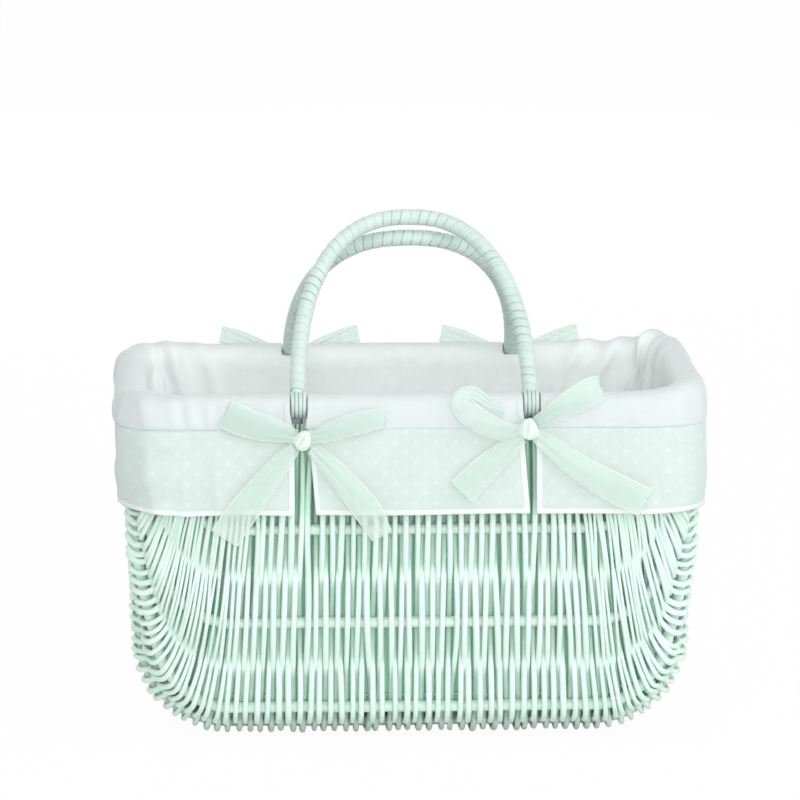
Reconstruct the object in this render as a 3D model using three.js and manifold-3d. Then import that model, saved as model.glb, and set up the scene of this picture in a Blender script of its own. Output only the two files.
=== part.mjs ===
// Oval willow rib basket with a cloth liner, a hanging skirt, four ribbon bows and two cane-wrapped
// swing handles. Millimetres, +X along the basket, +Y to the rear, +Z up, origin under its centre.
import * as THREE from 'three';
import * as BufferGeometryUtils from 'three/addons/utils/BufferGeometryUtils.js';
import Module from 'manifold-3d';

const wasm = await Module();
wasm.setup();

// Rim hoop
const rimHalfWidth = 121;
const rimHeight = 264;
const rimRadius = 5;
const rimCornerLength = 29;
const rimCornerWidth = 42;

// Wicker body
const baseHalfLength = 140;
const baseEdgeHalfWidth = 98;
const baseCornerRadius = 65;
const endFlare = 7;
const baseEdgeLift = 20;
const edgeLiftFade = [0.42, 0.75];
const wallBulge = 11;
const ribRadius = 4.5;
const rodRadius = 2.3;
const weaveClearance = 0.95;
const bindDepth = 1.6;
const crossingSpread = 0.14;
const frontRibDepths = [0.405, 0.715, 1];
const baseRibShare = 0.56;
const rodCount = 28;
const wovenShare = 0.955;
const fanPower = 6;
const floorCut = 0.5;
const seatGap = 0.4;
const spliceGap = 0.0036;
const ribEnd = 0.994;

// Cloth
const clothThickness = 2.2;
const clothClearance = 0.6;
const cuffRise = 0.4;
const cuffDrop = 21.5;
const cuffRound = 6;
const skirtDrop = 66.5;
const skirtFlare = 1;
const slitHalfWidth = 9.5;
const foldCount = 4;
const foldDepth = 0.5;
const linerEnd = 0.97;
const linerSeamShare = 0.9;
const linerGussetShare = 0.82;
const linerSeamGap = 0.004;

// Handles
const handleHalfSpan = 87;
const handleReach = 168;
const archPower = 2.4;
const coreRadius = 4.7;
const wrapThickness = 1.2;
const wrapTurns = 19;
const wrapGap = 0.9;
const wrapClearance = 0.7;
const frontLean = 41;
const rearLean = 49;
const hingeClearance = 0.5;
const loopRadius = 3.2;

// Ribbon bows
const ribbonWidth = 23;
const ribbonThickness = 1.4;
const knotWidth = 13;
const knotHeight = 17;
const knotDepth = 9;
const knotRounding = 1.15;
const bowLoopLength = 60;
const bowLoopThickness = 5;
const bowTailLength = 92;
const frontBowDrop = 27;
const rearBowDrop = 17;
const frontBowRise = 12;
const rearBowRise = 24;
const tailInset = 4.2;
const steepTails = 0.7;
const wideTails = 1.12;

// Derived places
const weaveOffset = ribRadius + rodRadius + weaveClearance;
const boundOffset = ribRadius + rodRadius - bindDepth;
const rodReach = rodRadius * Math.cos(Math.PI / 4);
const baseHeight = weaveOffset + rodReach - floorCut;
const edgeShare = 0.3;
const rimHalfLength = baseHalfLength + baseCornerRadius + endFlare;
const rimStraight = rimHalfLength - rimCornerLength;
const rimEndHalfWidth = rimHalfWidth - rimCornerWidth;
const cornerArc = baseCornerRadius * Math.PI / 2;
const wallFoot = new THREE.Vector2(baseHalfLength + baseCornerRadius, baseHeight + baseCornerRadius);
const wallTop = new THREE.Vector2(rimHalfLength, rimHeight);
const profileLength = baseHalfLength + cornerArc + wallFoot.distanceTo(wallTop);
const linerOffset = weaveOffset * (1 + crossingSpread) + rodRadius + clothClearance;
const clothOffset = weaveOffset * (1 + crossingSpread / 3) + rodReach + clothClearance;
const loopCentre = rimRadius + hingeClearance + loopRadius;
const loopReach = loopCentre + loopRadius;
const cuffTop = rimHeight + rimRadius + cuffRise;
const seamHeight = cuffTop - cuffDrop;
const hemHeight = seamHeight - seatGap - skirtDrop;
const linerTop = rimHeight - rimRadius;

const willow = { color: 0xc8e6da, roughness: 0.55 };
const cane = { color: 0xd6ece2, roughness: 0.45 };
const whiteCotton = { color: 0xf2f6f4, roughness: 0.9 };
const mintCotton = { color: 0xd8ebe3, roughness: 0.9 };
const mintRibbon = { color: 0xdcf0e8, roughness: 0.8 };

const basket = new THREE.Group();
const frontHandle = new THREE.Group();
const rearHandle = new THREE.Group();
basket.add(frontHandle, rearHandle);

function addPiece(group, name, geometry, look) {
  const material = new THREE.MeshStandardMaterial({ ...look, metalness: 0 });
  const mesh = new THREE.Mesh(geometry, material);
  mesh.name = name;
  group.add(mesh);
  return mesh;
}

// A curve that keeps its knots as the steps of an extrusion.
class KnotCurve extends THREE.Curve {
  constructor(knots) {
    super();
    this.knots = knots;
  }

  getPoint(share, target = new THREE.Vector3()) {
    const place = share * (this.knots.length - 1);
    const first = Math.min(Math.floor(place + 1e-9), this.knots.length - 2);
    return target.lerpVectors(this.knots[first], this.knots[first + 1], place - first);
  }

  getPointAt(share, target) {
    return this.getPoint(share, target);
  }

  getTangent(share, target = new THREE.Vector3()) {
    const last = this.knots.length - 1;
    const knot = Math.round(share * last);
    const before = this.knots[Math.max(knot - 1, 0)];
    const after = this.knots[Math.min(knot + 1, last)];
    return target.subVectors(after, before).normalize();
  }

  getTangentAt(share, target) {
    return this.getTangent(share, target);
  }
}

function polygonShape(radius, sides) {
  const corners = [];
  for (let i = 0; i < sides; i++) {
    const angle = (i + 0.5) * 2 * Math.PI / sides;
    corners.push(new THREE.Vector2(radius * Math.cos(angle), radius * Math.sin(angle)));
  }
  return new THREE.Shape(corners);
}

function rod(knots, radius, sides) {
  const path = new KnotCurve(knots);
  return new THREE.ExtrudeGeometry(polygonShape(radius, sides), {
    steps: knots.length - 1, extrudePath: path,
  });
}

function signedVolume(geometry) {
  const flat = geometry.index ? geometry.toNonIndexed() : geometry;
  const corner = flat.getAttribute('position');
  const a = new THREE.Vector3();
  const b = new THREE.Vector3();
  const c = new THREE.Vector3();
  let volume = 0;
  for (let i = 0; i < corner.count; i += 3) {
    a.fromBufferAttribute(corner, i);
    b.fromBufferAttribute(corner, i + 1);
    c.fromBufferAttribute(corner, i + 2);
    volume += a.dot(b.cross(c)) / 6;
  }
  return volume;
}

// A solid through rings of points, capped at both ends or joined into a loop.
function loft(rings, isLoop = false) {
  const sides = rings[0].length;
  const points = rings.flat();
  const triangles = [];
  const spans = isLoop ? rings.length : rings.length - 1;
  for (let i = 0; i < spans; i++) {
    const here = i * sides;
    const next = ((i + 1) % rings.length) * sides;
    for (let j = 0; j < sides; j++) {
      const k = (j + 1) % sides;
      triangles.push(here + j, here + k, next + k, here + j, next + k, next + j);
    }
  }
  if (!isLoop) {
    for (const [start, turned] of [[0, true], [(rings.length - 1) * sides, false]]) {
      const ring = rings[start / sides];
      const flat = flattened(ring);
      for (const face of THREE.ShapeUtils.triangulateShape(flat, [])) {
        const [p, q, r] = face.map((corner) => start + corner);
        triangles.push(...(turned ? [p, r, q] : [p, q, r]));
      }
    }
  }
  const geometry = new THREE.BufferGeometry().setFromPoints(points);
  geometry.setIndex(triangles);
  if (signedVolume(geometry) < 0) {
    for (let i = 0; i < triangles.length; i += 3) {
      [triangles[i + 1], triangles[i + 2]] = [triangles[i + 2], triangles[i + 1]];
    }
    geometry.setIndex(triangles);
  }
  return geometry;
}

// The points of a nearly flat ring, drawn in its own plane and going round the same way.
function flattened(ring) {
  const centre = ring.reduce((sum, p) => sum.add(p), new THREE.Vector3()).divideScalar(ring.length);
  const normal = new THREE.Vector3();
  ring.forEach((p, i) => {
    const next = ring[(i + 1) % ring.length];
    normal.add(p.clone().sub(centre).cross(next.clone().sub(centre)));
  });
  normal.normalize();
  const across = ring[0].clone().sub(centre);
  across.addScaledVector(normal, -across.dot(normal)).normalize();
  const up = normal.clone().cross(across);
  return ring.map((p) => {
    const arm = p.clone().sub(centre);
    return new THREE.Vector2(arm.dot(across), arm.dot(up));
  });
}

function joined(geometries) {
  const bare = geometries.map((geometry) => {
    const plain = geometry.index ? geometry.toNonIndexed() : geometry.clone();
    plain.deleteAttribute('normal');
    plain.deleteAttribute('uv');
    return BufferGeometryUtils.mergeVertices(plain, 1e-3);
  });
  return BufferGeometryUtils.mergeGeometries(bare);
}

function toManifold(geometry) {
  const merged = joined([geometry]);
  return new wasm.Manifold(new wasm.Mesh({
    numProp: 3,
    vertProperties: new Float32Array(merged.getAttribute('position').array),
    triVerts: new Uint32Array(merged.index.array),
  }));
}

function fromManifold(solid) {
  const mesh = solid.getMesh();
  const geometry = new THREE.BufferGeometry();
  geometry.setAttribute('position', new THREE.BufferAttribute(mesh.vertProperties, 3));
  geometry.setIndex(new THREE.BufferAttribute(mesh.triVerts, 1));
  return geometry;
}

// The end walls and the base are one strip, whose side view is this line, measured from its middle.
function stripProfile(along) {
  const side = Math.sign(along) || 1;
  const run = Math.abs(along);
  if (run <= baseHalfLength) {
    return { x: along, z: baseHeight, nx: 0, nz: -1 };
  }
  if (run <= baseHalfLength + cornerArc) {
    const turn = (run - baseHalfLength) / baseCornerRadius;
    return {
      x: side * (baseHalfLength + baseCornerRadius * Math.sin(turn)),
      z: baseHeight + baseCornerRadius * (1 - Math.cos(turn)),
      nx: side * Math.sin(turn),
      nz: -Math.cos(turn),
    };
  }
  const share = (run - baseHalfLength - cornerArc) / (profileLength - baseHalfLength - cornerArc);
  const place = new THREE.Vector2().lerpVectors(wallFoot, wallTop, share);
  return { x: side * place.x, z: place.y, nx: side, nz: 0 };
}

// Where a crosswise rod that leaves the long rim at a share of its length crosses the strip.
function stripPlace(share) {
  const extra = profileLength - rimStraight;
  return rimStraight * share + Math.sign(share) * extra * Math.abs(share) ** fanPower;
}

function stripPoint(along, across) {
  const profile = stripProfile(along);
  const rise = Math.abs(along) / profileLength;
  const halfWidth = baseEdgeHalfWidth + (rimEndHalfWidth - baseEdgeHalfWidth) * rise ** 2;
  const edging = Math.max(0, (Math.abs(across) - baseRibShare) / (1 - baseRibShare));
  const fading = 1 - THREE.MathUtils.smoothstep(rise, ...edgeLiftFade);
  const lift = baseEdgeLift * fading * edging ** 2;
  return new THREE.Vector3(
    profile.x - profile.nx * lift,
    halfWidth * across,
    profile.z - profile.nz * lift,
  );
}

// The middle surface of the wicker: share runs along the basket and turn runs from the front rim (-1),
// under the base (0) and up to the rear rim (1).
function bodyPoint(share, turn) {
  const along = stripPlace(share);
  if (Math.abs(turn) <= edgeShare) {
    return stripPoint(along, turn / edgeShare);
  }
  const side = Math.sign(turn);
  const depth = (1 - Math.abs(turn)) / (1 - edgeShare);
  const top = new THREE.Vector3(rimStraight * share, side * rimHalfWidth, rimHeight);
  const foot = stripPoint(along, side);
  const cornerPull = Math.abs(share) ** 4;
  const middle = top.clone().add(foot).multiplyScalar(0.5);
  middle.x += Math.sign(share) * cornerPull * rimCornerLength / 2;
  middle.y += side * (wallBulge + (rimCornerWidth / 2 - wallBulge) * cornerPull);
  return new THREE.QuadraticBezierCurve3(top, middle, foot).getPoint(depth);
}

function bodyNormal(share, turn) {
  const step = 1e-3;
  const s = THREE.MathUtils.clamp(share, -1 + step, 1 - step);
  const t = THREE.MathUtils.clamp(turn, -1 + step, 1 - step);
  const along = bodyPoint(s + step, t).sub(bodyPoint(s - step, t));
  const across = bodyPoint(s, t + step).sub(bodyPoint(s, t - step));
  return across.cross(along).normalize();
}

function offsetPoint(share, turn, distance) {
  return bodyPoint(share, turn).addScaledVector(bodyNormal(share, turn), distance);
}

const turnOfDepth = (depth) => 1 - depth * (1 - edgeShare);
const baseTurn = edgeShare * baseRibShare;
const looseRibs = {
  rib_front_upper: -turnOfDepth(frontRibDepths[0]),
  rib_front_middle: -turnOfDepth(frontRibDepths[1]),
  rib_base_front: -baseTurn,
  rib_base_rear: baseTurn,
  rib_rear_middle: turnOfDepth(frontRibDepths[1]),
  rib_rear_upper: turnOfDepth(frontRibDepths[0]),
};
const spliceTurn = (edgeShare + baseTurn) / 2;
const rodShares = [];
for (let i = 0; i < rodCount; i++) {
  rodShares.push((2 * (i + 0.5) / rodCount - 1) * wovenShare);
}

// One closed line round the top of the rim hoop, with the side that faces out at each place.
function rimOutline(cornerSteps, straightSteps) {
  const quarter = [];
  for (let i = 0; i < straightSteps; i++) {
    quarter.push(new THREE.Vector2(rimStraight * i / straightSteps, rimHalfWidth));
  }
  const corner = new THREE.QuadraticBezierCurve(
    new THREE.Vector2(rimStraight, rimHalfWidth),
    new THREE.Vector2(rimHalfLength, rimHalfWidth),
    new THREE.Vector2(rimHalfLength, rimEndHalfWidth),
  );
  quarter.push(...corner.getPoints(cornerSteps));
  quarter.push(new THREE.Vector2(rimHalfLength, rimEndHalfWidth / 2));
  quarter.push(new THREE.Vector2(rimHalfLength, 0));
  const mirrored = (points, x, y) => points.map((p) => new THREE.Vector2(x * p.x, y * p.y));
  return [
    ...quarter,
    ...mirrored(quarter, 1, -1).reverse().slice(1),
    ...mirrored(quarter, -1, -1).slice(1),
    ...mirrored(quarter, -1, 1).reverse().slice(1, -1),
  ];
}

function outwardAt(outline, i) {
  const before = outline[(i + outline.length - 1) % outline.length];
  const after = outline[(i + 1) % outline.length];
  const run = after.clone().sub(before).normalize();
  return new THREE.Vector2(-run.y, run.x);
}

function hoop(radius) {
  const outline = rimOutline(5, 2);
  const sides = 6;
  const rings = outline.map((place, i) => {
    const outward = outwardAt(outline, i);
    const ring = [];
    for (let j = 0; j < sides; j++) {
      const angle = (j + 0.5) * 2 * Math.PI / sides;
      const reach = radius * Math.cos(angle);
      ring.push(new THREE.Vector3(
        place.x + outward.x * reach,
        place.y + outward.y * reach,
        rimHeight + radius * Math.sin(angle),
      ));
    }
    return ring;
  });
  return loft(rings, true);
}

function makeRim() {
  addPiece(basket, 'rim_hoop', hoop(rimRadius), willow);
}

// A lengthwise rib at one turn of the surface, between two shares of the length.
function ribRod(turn, start, end) {
  const crossed = Math.abs(turn) < edgeShare ? stripPlaces().map(shareAt) : rodShares;
  const inner = crossed.filter((share, j) => Math.abs(share) > 0.45 || j % 3 === 0);
  const kept = inner.filter((share) => share > start + 0.004 && share < end - 0.004);
  const knots = [start, ...kept, end].map((share) => bodyPoint(share, turn));
  return rod(knots, ribRadius, 5);
}

// Rods and ribs end against the underside of the rim hoop and flat on the floor under the base, and
// leave room for the handle loops that go round the hoop.
function seated(solid) {
  const room = loopReach + seatGap;
  const span = 4 * profileLength;
  const floor = toManifold(new THREE.BoxGeometry(span, span, span).translate(0, 0, -span / 2));
  const seat = toManifold(hoop(rimRadius + seatGap));
  let trimmed = solid.subtract(floor).subtract(seat);
  for (const side of [-1, 1]) {
    for (const y of [-rimHalfWidth, rimHalfWidth]) {
      const slot = new THREE.CylinderGeometry(room, room, 2 * (loopRadius + seatGap), 12);
      slot.rotateZ(Math.PI / 2).translate(side * handleHalfSpan, y, rimHeight);
      trimmed = trimmed.subtract(toManifold(slot));
    }
  }
  return fromManifold(trimmed);
}

function makeRibs() {
  for (const [name, turn] of Object.entries(looseRibs)) {
    addPiece(basket, name, seated(toManifold(ribRod(turn, -ribEnd, ribEnd))), willow);
  }
}

// One rod as knots: at each rib it lies out or in by its side of the weave, and between ribs by nothing.
function wovenRod(share, crossings) {
  const knots = crossings.map(({ turn, out }) => offsetPoint(share, turn, out));
  return rod(knots, rodRadius, 4);
}

function wallCrossings(side, share, parity) {
  const clear = weaveOffset * (1 + crossingSpread * Math.abs(share) ** 4);
  const [upper, middle, edge] = frontRibDepths.map(turnOfDepth);
  return [
    { turn: side, out: 0 },
    { turn: side * upper, out: parity * clear },
    { turn: side * (upper + middle) / 2, out: 0 },
    { turn: side * middle, out: -parity * clear },
    { turn: side * (middle + edge) / 2, out: 0 },
    { turn: side * edge, out: parity * boundOffset },
    { turn: side * (spliceTurn + spliceGap), out: 0 },
  ];
}

function stripCrossings(parity) {
  return [
    { turn: -spliceTurn + spliceGap, out: 0 },
    { turn: -baseTurn, out: -parity * weaveOffset },
    { turn: -baseTurn / 2, out: 0 },
    { turn: 0, out: parity * boundOffset },
    { turn: baseTurn / 2, out: 0 },
    { turn: baseTurn, out: -parity * weaveOffset },
    { turn: spliceTurn - spliceGap, out: 0 },
  ];
}

// The share whose rod crosses the strip at a given place along it.
function shareAt(along) {
  let near = -1;
  let far = 1;
  for (let i = 0; i < 40; i++) {
    const middle = (near + far) / 2;
    if (stripPlace(middle) < along) {
      near = middle;
    } else {
      far = middle;
    }
  }
  return (near + far) / 2;
}

// Places along the strip: one for each wall rod, and short rods wherever those fan apart or end.
function stripPlaces() {
  const pitch = 2 * rimStraight / rodCount;
  const last = profileLength - rimRadius - rodRadius - pitch / 2;
  const main = [-last, ...rodShares.map(stripPlace), last];
  const places = [];
  main.forEach((place, i) => {
    const gap = (main[i + 1] ?? place) - place;
    const parts = Math.max(1, Math.round(gap / (1.6 * pitch)));
    for (let k = 0; k < parts; k++) {
      places.push(place + gap * k / parts);
    }
  });
  return places;
}

function boundWeave(rods, rib) {
  return seated(rods.reduce((solid, piece) => solid.add(toManifold(piece)), toManifold(rib)));
}

function makeWeave() {
  for (const [name, side] of [['front_weave', -1], ['rear_weave', 1]]) {
    const rods = rodShares.map((share, i) => {
      const parity = i % 2 === 0 ? 1 : -1;
      return wovenRod(share, wallCrossings(side, share, parity));
    });
    addPiece(basket, name, boundWeave(rods, ribRod(side * edgeShare, -ribEnd, ribEnd)), willow);
  }
  const base = [];
  const left = [];
  const right = [];
  stripPlaces().forEach((along, i) => {
    const parity = i % 2 === 0 ? 1 : -1;
    const piece = wovenRod(shareAt(along), stripCrossings(parity));
    const home = Math.abs(along) < baseHalfLength ? base : along < 0 ? left : right;
    home.push(piece);
  });
  const join = shareAt(baseHalfLength - seatGap);
  const start = shareAt(baseHalfLength + seatGap);
  addPiece(basket, 'base_weave', boundWeave(base, ribRod(0, -join, join)), willow);
  addPiece(basket, 'left_end_weave', boundWeave(left, ribRod(0, -ribEnd, -start)), willow);
  addPiece(basket, 'right_end_weave', boundWeave(right, ribRod(0, start, ribEnd)), willow);
}

// A sheet of the liner, as thick as its cloth, through rows of [share, turn] places.
function linerSheet(rows) {
  return loft(rows.map((row) => {
    const outside = row.map(([share, turn]) => offsetPoint(share, turn, -linerOffset));
    const inside = row.map(([share, turn]) => {
      return offsetPoint(share, turn, -linerOffset - clothThickness);
    });
    return [...outside, ...inside.reverse()];
  }));
}

function spread(start, end, steps) {
  return Array.from({ length: steps + 1 }, (unused, i) => start + (end - start) * i / steps);
}

// The last value before the liner, placed by it, rises over its top edge.
function upToLinerTop(placeAt, inner, outer) {
  let under = inner;
  let over = outer;
  for (let i = 0; i < 30; i++) {
    const middle = (under + over) / 2;
    const [share, turn] = placeAt(middle);
    const outside = offsetPoint(share, turn, -linerOffset).z;
    const inside = offsetPoint(share, turn, -linerOffset - clothThickness).z;
    if (Math.max(outside, inside) < linerTop) {
      under = middle;
    } else {
      over = middle;
    }
  }
  return under;
}

function makeLiner() {
  const seamTurn = edgeShare * linerSeamShare;
  const seam = seamTurn + linerSeamGap;
  const bend = edgeShare + 0.12;
  const corner = shareAt(baseHalfLength - seatGap / 2);
  const gusset = linerGussetShare;
  const gap = linerSeamGap / 2;
  const runs = [
    ['', [-gusset + gap, -0.7, -0.4, 0, 0.4, 0.7, gusset - gap]],
    ['_left_gusset', [-linerEnd, -0.92, -gusset - gap]],
    ['_right_gusset', [gusset + gap, 0.92, linerEnd]],
  ];
  const stripTurns = spread(-seamTurn, seamTurn, 4);
  for (const [wall, side] of [['liner_front', -1], ['liner_rear', 1]]) {
    for (const [place, shares] of runs) {
      const rows = shares.map((share) => {
        const top = upToLinerTop((turn) => [share, side * turn], bend, 1);
        return [seam, edgeShare, ...spread(bend, top, 3)].map((turn) => [share, side * turn]);
      });
      addPiece(basket, wall + place, linerSheet(rows), whiteCotton);
    }
  }
  for (const [name, side] of [['liner_left', -1], ['liner_right', 1]]) {
    const tops = stripTurns.map((turn) => {
      return upToLinerTop((along) => [side * shareAt(along), turn], baseHalfLength, profileLength);
    });
    const rows = spread(0, 1, 8).map((part) => stripTurns.map((turn, i) => {
      const along = baseHalfLength + seatGap / 2;
      return [side * shareAt(along + (tops[i] - along) * part), turn];
    }));
    addPiece(basket, name, linerSheet(rows), whiteCotton);
  }
  const floorRows = spread(-corner, corner, 4).map((share) => stripTurns.map((turn) => [share, turn]));
  addPiece(basket, 'liner_floor', linerSheet(floorRows), whiteCotton);
}

// A place on the rim line with the level direction that faces out there.
function rimRun(side) {
  const clear = handleHalfSpan + slitHalfWidth;
  const outline = rimOutline(5, 2);
  const around = outline.map((place, i) => ({ place, outward: outwardAt(outline, i) }));
  const bend = around.filter(({ place }) => side * place.x > clear + 1);
  const angle = ({ place }) => Math.atan2(place.y, side * place.x);
  bend.sort((a, b) => angle(a) - angle(b));
  const ends = [-1, 1].map((y) => ({
    place: new THREE.Vector2(side * clear, y * rimHalfWidth),
    outward: new THREE.Vector2(0, y),
  }));
  return [ends[0], ...bend, ends[1]];
}

function middleRun(side) {
  const reach = handleHalfSpan - slitHalfWidth;
  const steps = 2 * foldCount;
  return spread(-reach, reach, steps).map((x) => ({
    place: new THREE.Vector2(x, side * rimHalfWidth),
    outward: new THREE.Vector2(0, side),
  }));
}

function band(run, section) {
  const rings = run.map(({ place, outward }, i) => section(i).map(([out, z]) => new THREE.Vector3(
    place.x + outward.x * out,
    place.y + outward.y * out,
    z,
  )));
  return loft(rings);
}

// The liner's top folds over the rim hoop and comes down outside it.
function cuffSection() {
  const outer = clothOffset;
  const inner = -linerOffset;
  const t = clothThickness;
  const shoulder = cuffTop - cuffRound;
  return [
    [outer, seamHeight], [outer, shoulder], [outer - cuffRound, cuffTop],
    [inner + cuffRound, cuffTop], [inner, shoulder], [inner, linerTop + seatGap],
    [inner - t, linerTop + seatGap], [inner - t, shoulder + t / 2],
    [inner + cuffRound - t / 2, cuffTop + t], [outer - cuffRound + t / 2, cuffTop + t],
    [outer + t, shoulder + t / 2], [outer + t, seamHeight],
  ];
}

function skirtSection(i) {
  const fold = foldDepth * (1 - Math.cos(Math.PI * i));
  const out = clothOffset;
  const hem = out + skirtFlare + fold;
  const top = seamHeight - seatGap;
  const middle = (top + hemHeight) / 2;
  const belly = (out + hem) / 2;
  const t = clothThickness;
  return [
    [out, top], [belly, middle], [hem, hemHeight],
    [hem + t, hemHeight], [belly + t, middle], [out + t, top],
  ];
}

function makeCuffAndSkirt() {
  const runs = { front: middleRun(-1), rear: middleRun(1), left: rimRun(-1), right: rimRun(1) };
  for (const [name, run] of Object.entries(runs)) {
    addPiece(basket, `cuff_${name}`, band(run, cuffSection), whiteCotton);
    addPiece(basket, `skirt_${name}`, band(run, skirtSection), mintCotton);
  }
}

// A point of the handle's arch in its own plane, x across and y up from the hinge line.
function archPoint(angle) {
  const across = Math.cos(angle);
  const power = 2 / archPower;
  return new THREE.Vector3(
    handleHalfSpan * Math.sign(across) * Math.abs(across) ** power,
    handleReach * Math.sin(angle) ** power,
    0,
  );
}

function archCurve() {
  const start = Math.asin(((loopReach + seatGap) / handleReach) ** (archPower / 2));
  const points = spread(start, Math.PI - start, 40).map(archPoint);
  return new THREE.CatmullRomCurve3(points, false, 'centripetal');
}

function makeCore(curve) {
  return new THREE.ExtrudeGeometry(polygonShape(coreRadius, 6), { steps: 28, extrudePath: curve });
}

// A flat cane strip wound round the core in one helix from end to end.
function makeWrap(curve) {
  const steps = 8;
  const inner = (coreRadius + wrapClearance) / Math.cos(Math.PI / steps);
  const outer = inner + wrapThickness;
  const length = curve.getLength();
  const pitch = length / (wrapTurns + 1);
  const half = (pitch - wrapGap) / 2;
  const plane = new THREE.Vector3(0, 0, 1);
  const rings = spread(0, wrapTurns, wrapTurns * steps).map((turn) => {
    const middle = pitch * (turn + 0.5);
    const angle = 2 * Math.PI * turn;
    return [[inner, -half], [inner, half], [outer, half], [outer, -half]].map(([radius, shift]) => {
      const share = THREE.MathUtils.clamp((middle + shift) / length, 0, 1);
      const across = new THREE.Vector3().crossVectors(curve.getTangentAt(share), plane);
      return curve.getPointAt(share)
        .addScaledVector(across, radius * Math.cos(angle))
        .addScaledVector(plane, radius * Math.sin(angle));
    });
  });
  return loft(rings);
}

function makeLoop() {
  return new THREE.TorusGeometry(loopCentre, loopRadius, 6, 14).rotateY(Math.PI / 2);
}

// Each handle swings about the rim hoop on two loops, and leans in until it meets the other.
function makeHandle(group, name, side, lean) {
  group.position.set(0, side * rimHalfWidth, rimHeight);
  group.rotation.x = Math.PI / 2 + side * THREE.MathUtils.degToRad(lean);
  const curve = archCurve();
  addPiece(group, `${name}_core`, makeCore(curve), willow);
  addPiece(group, `${name}_cane_wrap`, makeWrap(curve), cane);
  for (const [place, across] of [['left', -1], ['right', 1]]) {
    const loop = addPiece(group, `${name}_${place}_loop`, makeLoop(), cane);
    loop.position.x = across * handleHalfSpan;
  }
}

// How far the skirt has flared out at a given drop below its seam.
function flareAt(drop) {
  return (skirtFlare + 2 * foldDepth) * Math.max(0, drop) / skirtDrop;
}

// A flat strip of ribbon through stations: its place across and up from the knot, its width and depth,
// the tilt of its width and how far it stands out.
function ribbonStrip(stations) {
  const rings = stations.map(({ x, z, width, depth, tilt, out }) => {
    const along = new THREE.Vector3(Math.cos(tilt), 0, Math.sin(tilt)).multiplyScalar(width / 2);
    const low = new THREE.Vector3(x, out, z).sub(along);
    const high = new THREE.Vector3(x, out, z).add(along);
    const back = new THREE.Vector3(0, depth, 0);
    return [low, high, high.clone().add(back), low.clone().add(back)];
  });
  return loft(rings);
}

function bowLoop(side, rise) {
  const start = knotWidth / 2 + seatGap - knotRounding;
  const widths = [0.35, 0.75, 1, 1, 0.7];
  return ribbonStrip(widths.map((width, i) => {
    const share = i / (widths.length - 1);
    return {
      x: side * (start + bowLoopLength * share),
      z: rise * share,
      width: ribbonWidth * width,
      depth: bowLoopThickness * (0.5 + share * (1 - share) * 2),
      tilt: Math.PI / 2,
      out: 0,
    };
  }));
}

function bowTail(side, spreadAngle, knotHeightOverSeam) {
  const start = knotHeight / 2 + seatGap - knotRounding;
  const direction = new THREE.Vector2(side * Math.sin(spreadAngle), -Math.cos(spreadAngle));
  const widths = [0.3, 0.6, 0.85, 1, 1];
  return ribbonStrip(widths.map((width, i) => {
    const reach = bowTailLength * i / (widths.length - 1);
    const x = side * tailInset + direction.x * reach;
    const z = -start + direction.y * reach;
    return {
      x,
      z,
      width: ribbonWidth * width,
      depth: ribbonThickness,
      tilt: i === 0 ? 0 : side * spreadAngle,
      out: flareAt(ribbonWidth / 2 - z - knotHeightOverSeam),
    };
  }));
}

function makeKnot() {
  const knot = new THREE.SphereGeometry(0.5, 8, 6);
  knot.scale(knotWidth, knotDepth, knotHeight).translate(0, knotDepth / 2, 0);
  return knot;
}

// A bow closes each slit of the skirt, its back just clear of the cloth.
function makeBow(name, x, side, drop, rise, tailAngle) {
  const bow = new THREE.Group();
  const overSeam = cuffTop - drop - seamHeight;
  const lowestLoop = ribbonWidth / 2 - overSeam;
  const back = rimHalfWidth + clothOffset + clothThickness + flareAt(lowestLoop) + seatGap;
  bow.position.set(x, side * back, cuffTop - drop);
  bow.rotation.z = side < 0 ? Math.PI : 0;
  basket.add(bow);
  addPiece(bow, `${name}_knot`, makeKnot(), mintRibbon);
  for (const [place, across] of [['left', -1], ['right', 1]]) {
    addPiece(bow, `${name}_${place}_loop`, bowLoop(across * side, rise), mintRibbon);
    addPiece(bow, `${name}_${place}_tail`, bowTail(across * side, tailAngle, overSeam), mintRibbon);
  }
}

function makeBows() {
  for (const [place, across] of [['left', -1], ['right', 1]]) {
    const x = across * handleHalfSpan;
    const tails = across < 0 ? steepTails : wideTails;
    makeBow(`front_${place}_bow`, x, -1, frontBowDrop, frontBowRise, tails);
    makeBow(`rear_${place}_bow`, x, 1, rearBowDrop, rearBowRise, steepTails);
  }
}

makeRim();
makeRibs();
makeWeave();
makeLiner();
makeCuffAndSkirt();
makeHandle(frontHandle, 'front_handle', -1, frontLean);
makeHandle(rearHandle, 'rear_handle', 1, rearLean);
makeBows();

export default basket;
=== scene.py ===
"""Looks of the lined wicker basket bag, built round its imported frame.

Lengths are millimetres in the frame's axes until a mesh is made, and metres from there on.
"""

import math

import bpy
import numpy as np
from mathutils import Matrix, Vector


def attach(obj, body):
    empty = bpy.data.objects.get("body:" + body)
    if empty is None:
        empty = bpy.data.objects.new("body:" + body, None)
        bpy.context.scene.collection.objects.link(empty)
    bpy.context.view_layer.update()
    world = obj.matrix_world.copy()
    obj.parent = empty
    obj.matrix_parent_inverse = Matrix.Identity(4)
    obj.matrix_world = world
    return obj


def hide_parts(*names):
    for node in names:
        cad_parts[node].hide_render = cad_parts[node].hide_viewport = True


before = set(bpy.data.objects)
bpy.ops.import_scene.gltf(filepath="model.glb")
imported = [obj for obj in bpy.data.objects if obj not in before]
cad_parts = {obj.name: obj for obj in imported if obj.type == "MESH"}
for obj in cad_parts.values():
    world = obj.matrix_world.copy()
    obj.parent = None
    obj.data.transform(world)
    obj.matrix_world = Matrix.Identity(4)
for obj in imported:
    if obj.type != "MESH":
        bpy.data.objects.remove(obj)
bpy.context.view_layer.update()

MM = 0.001

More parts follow.
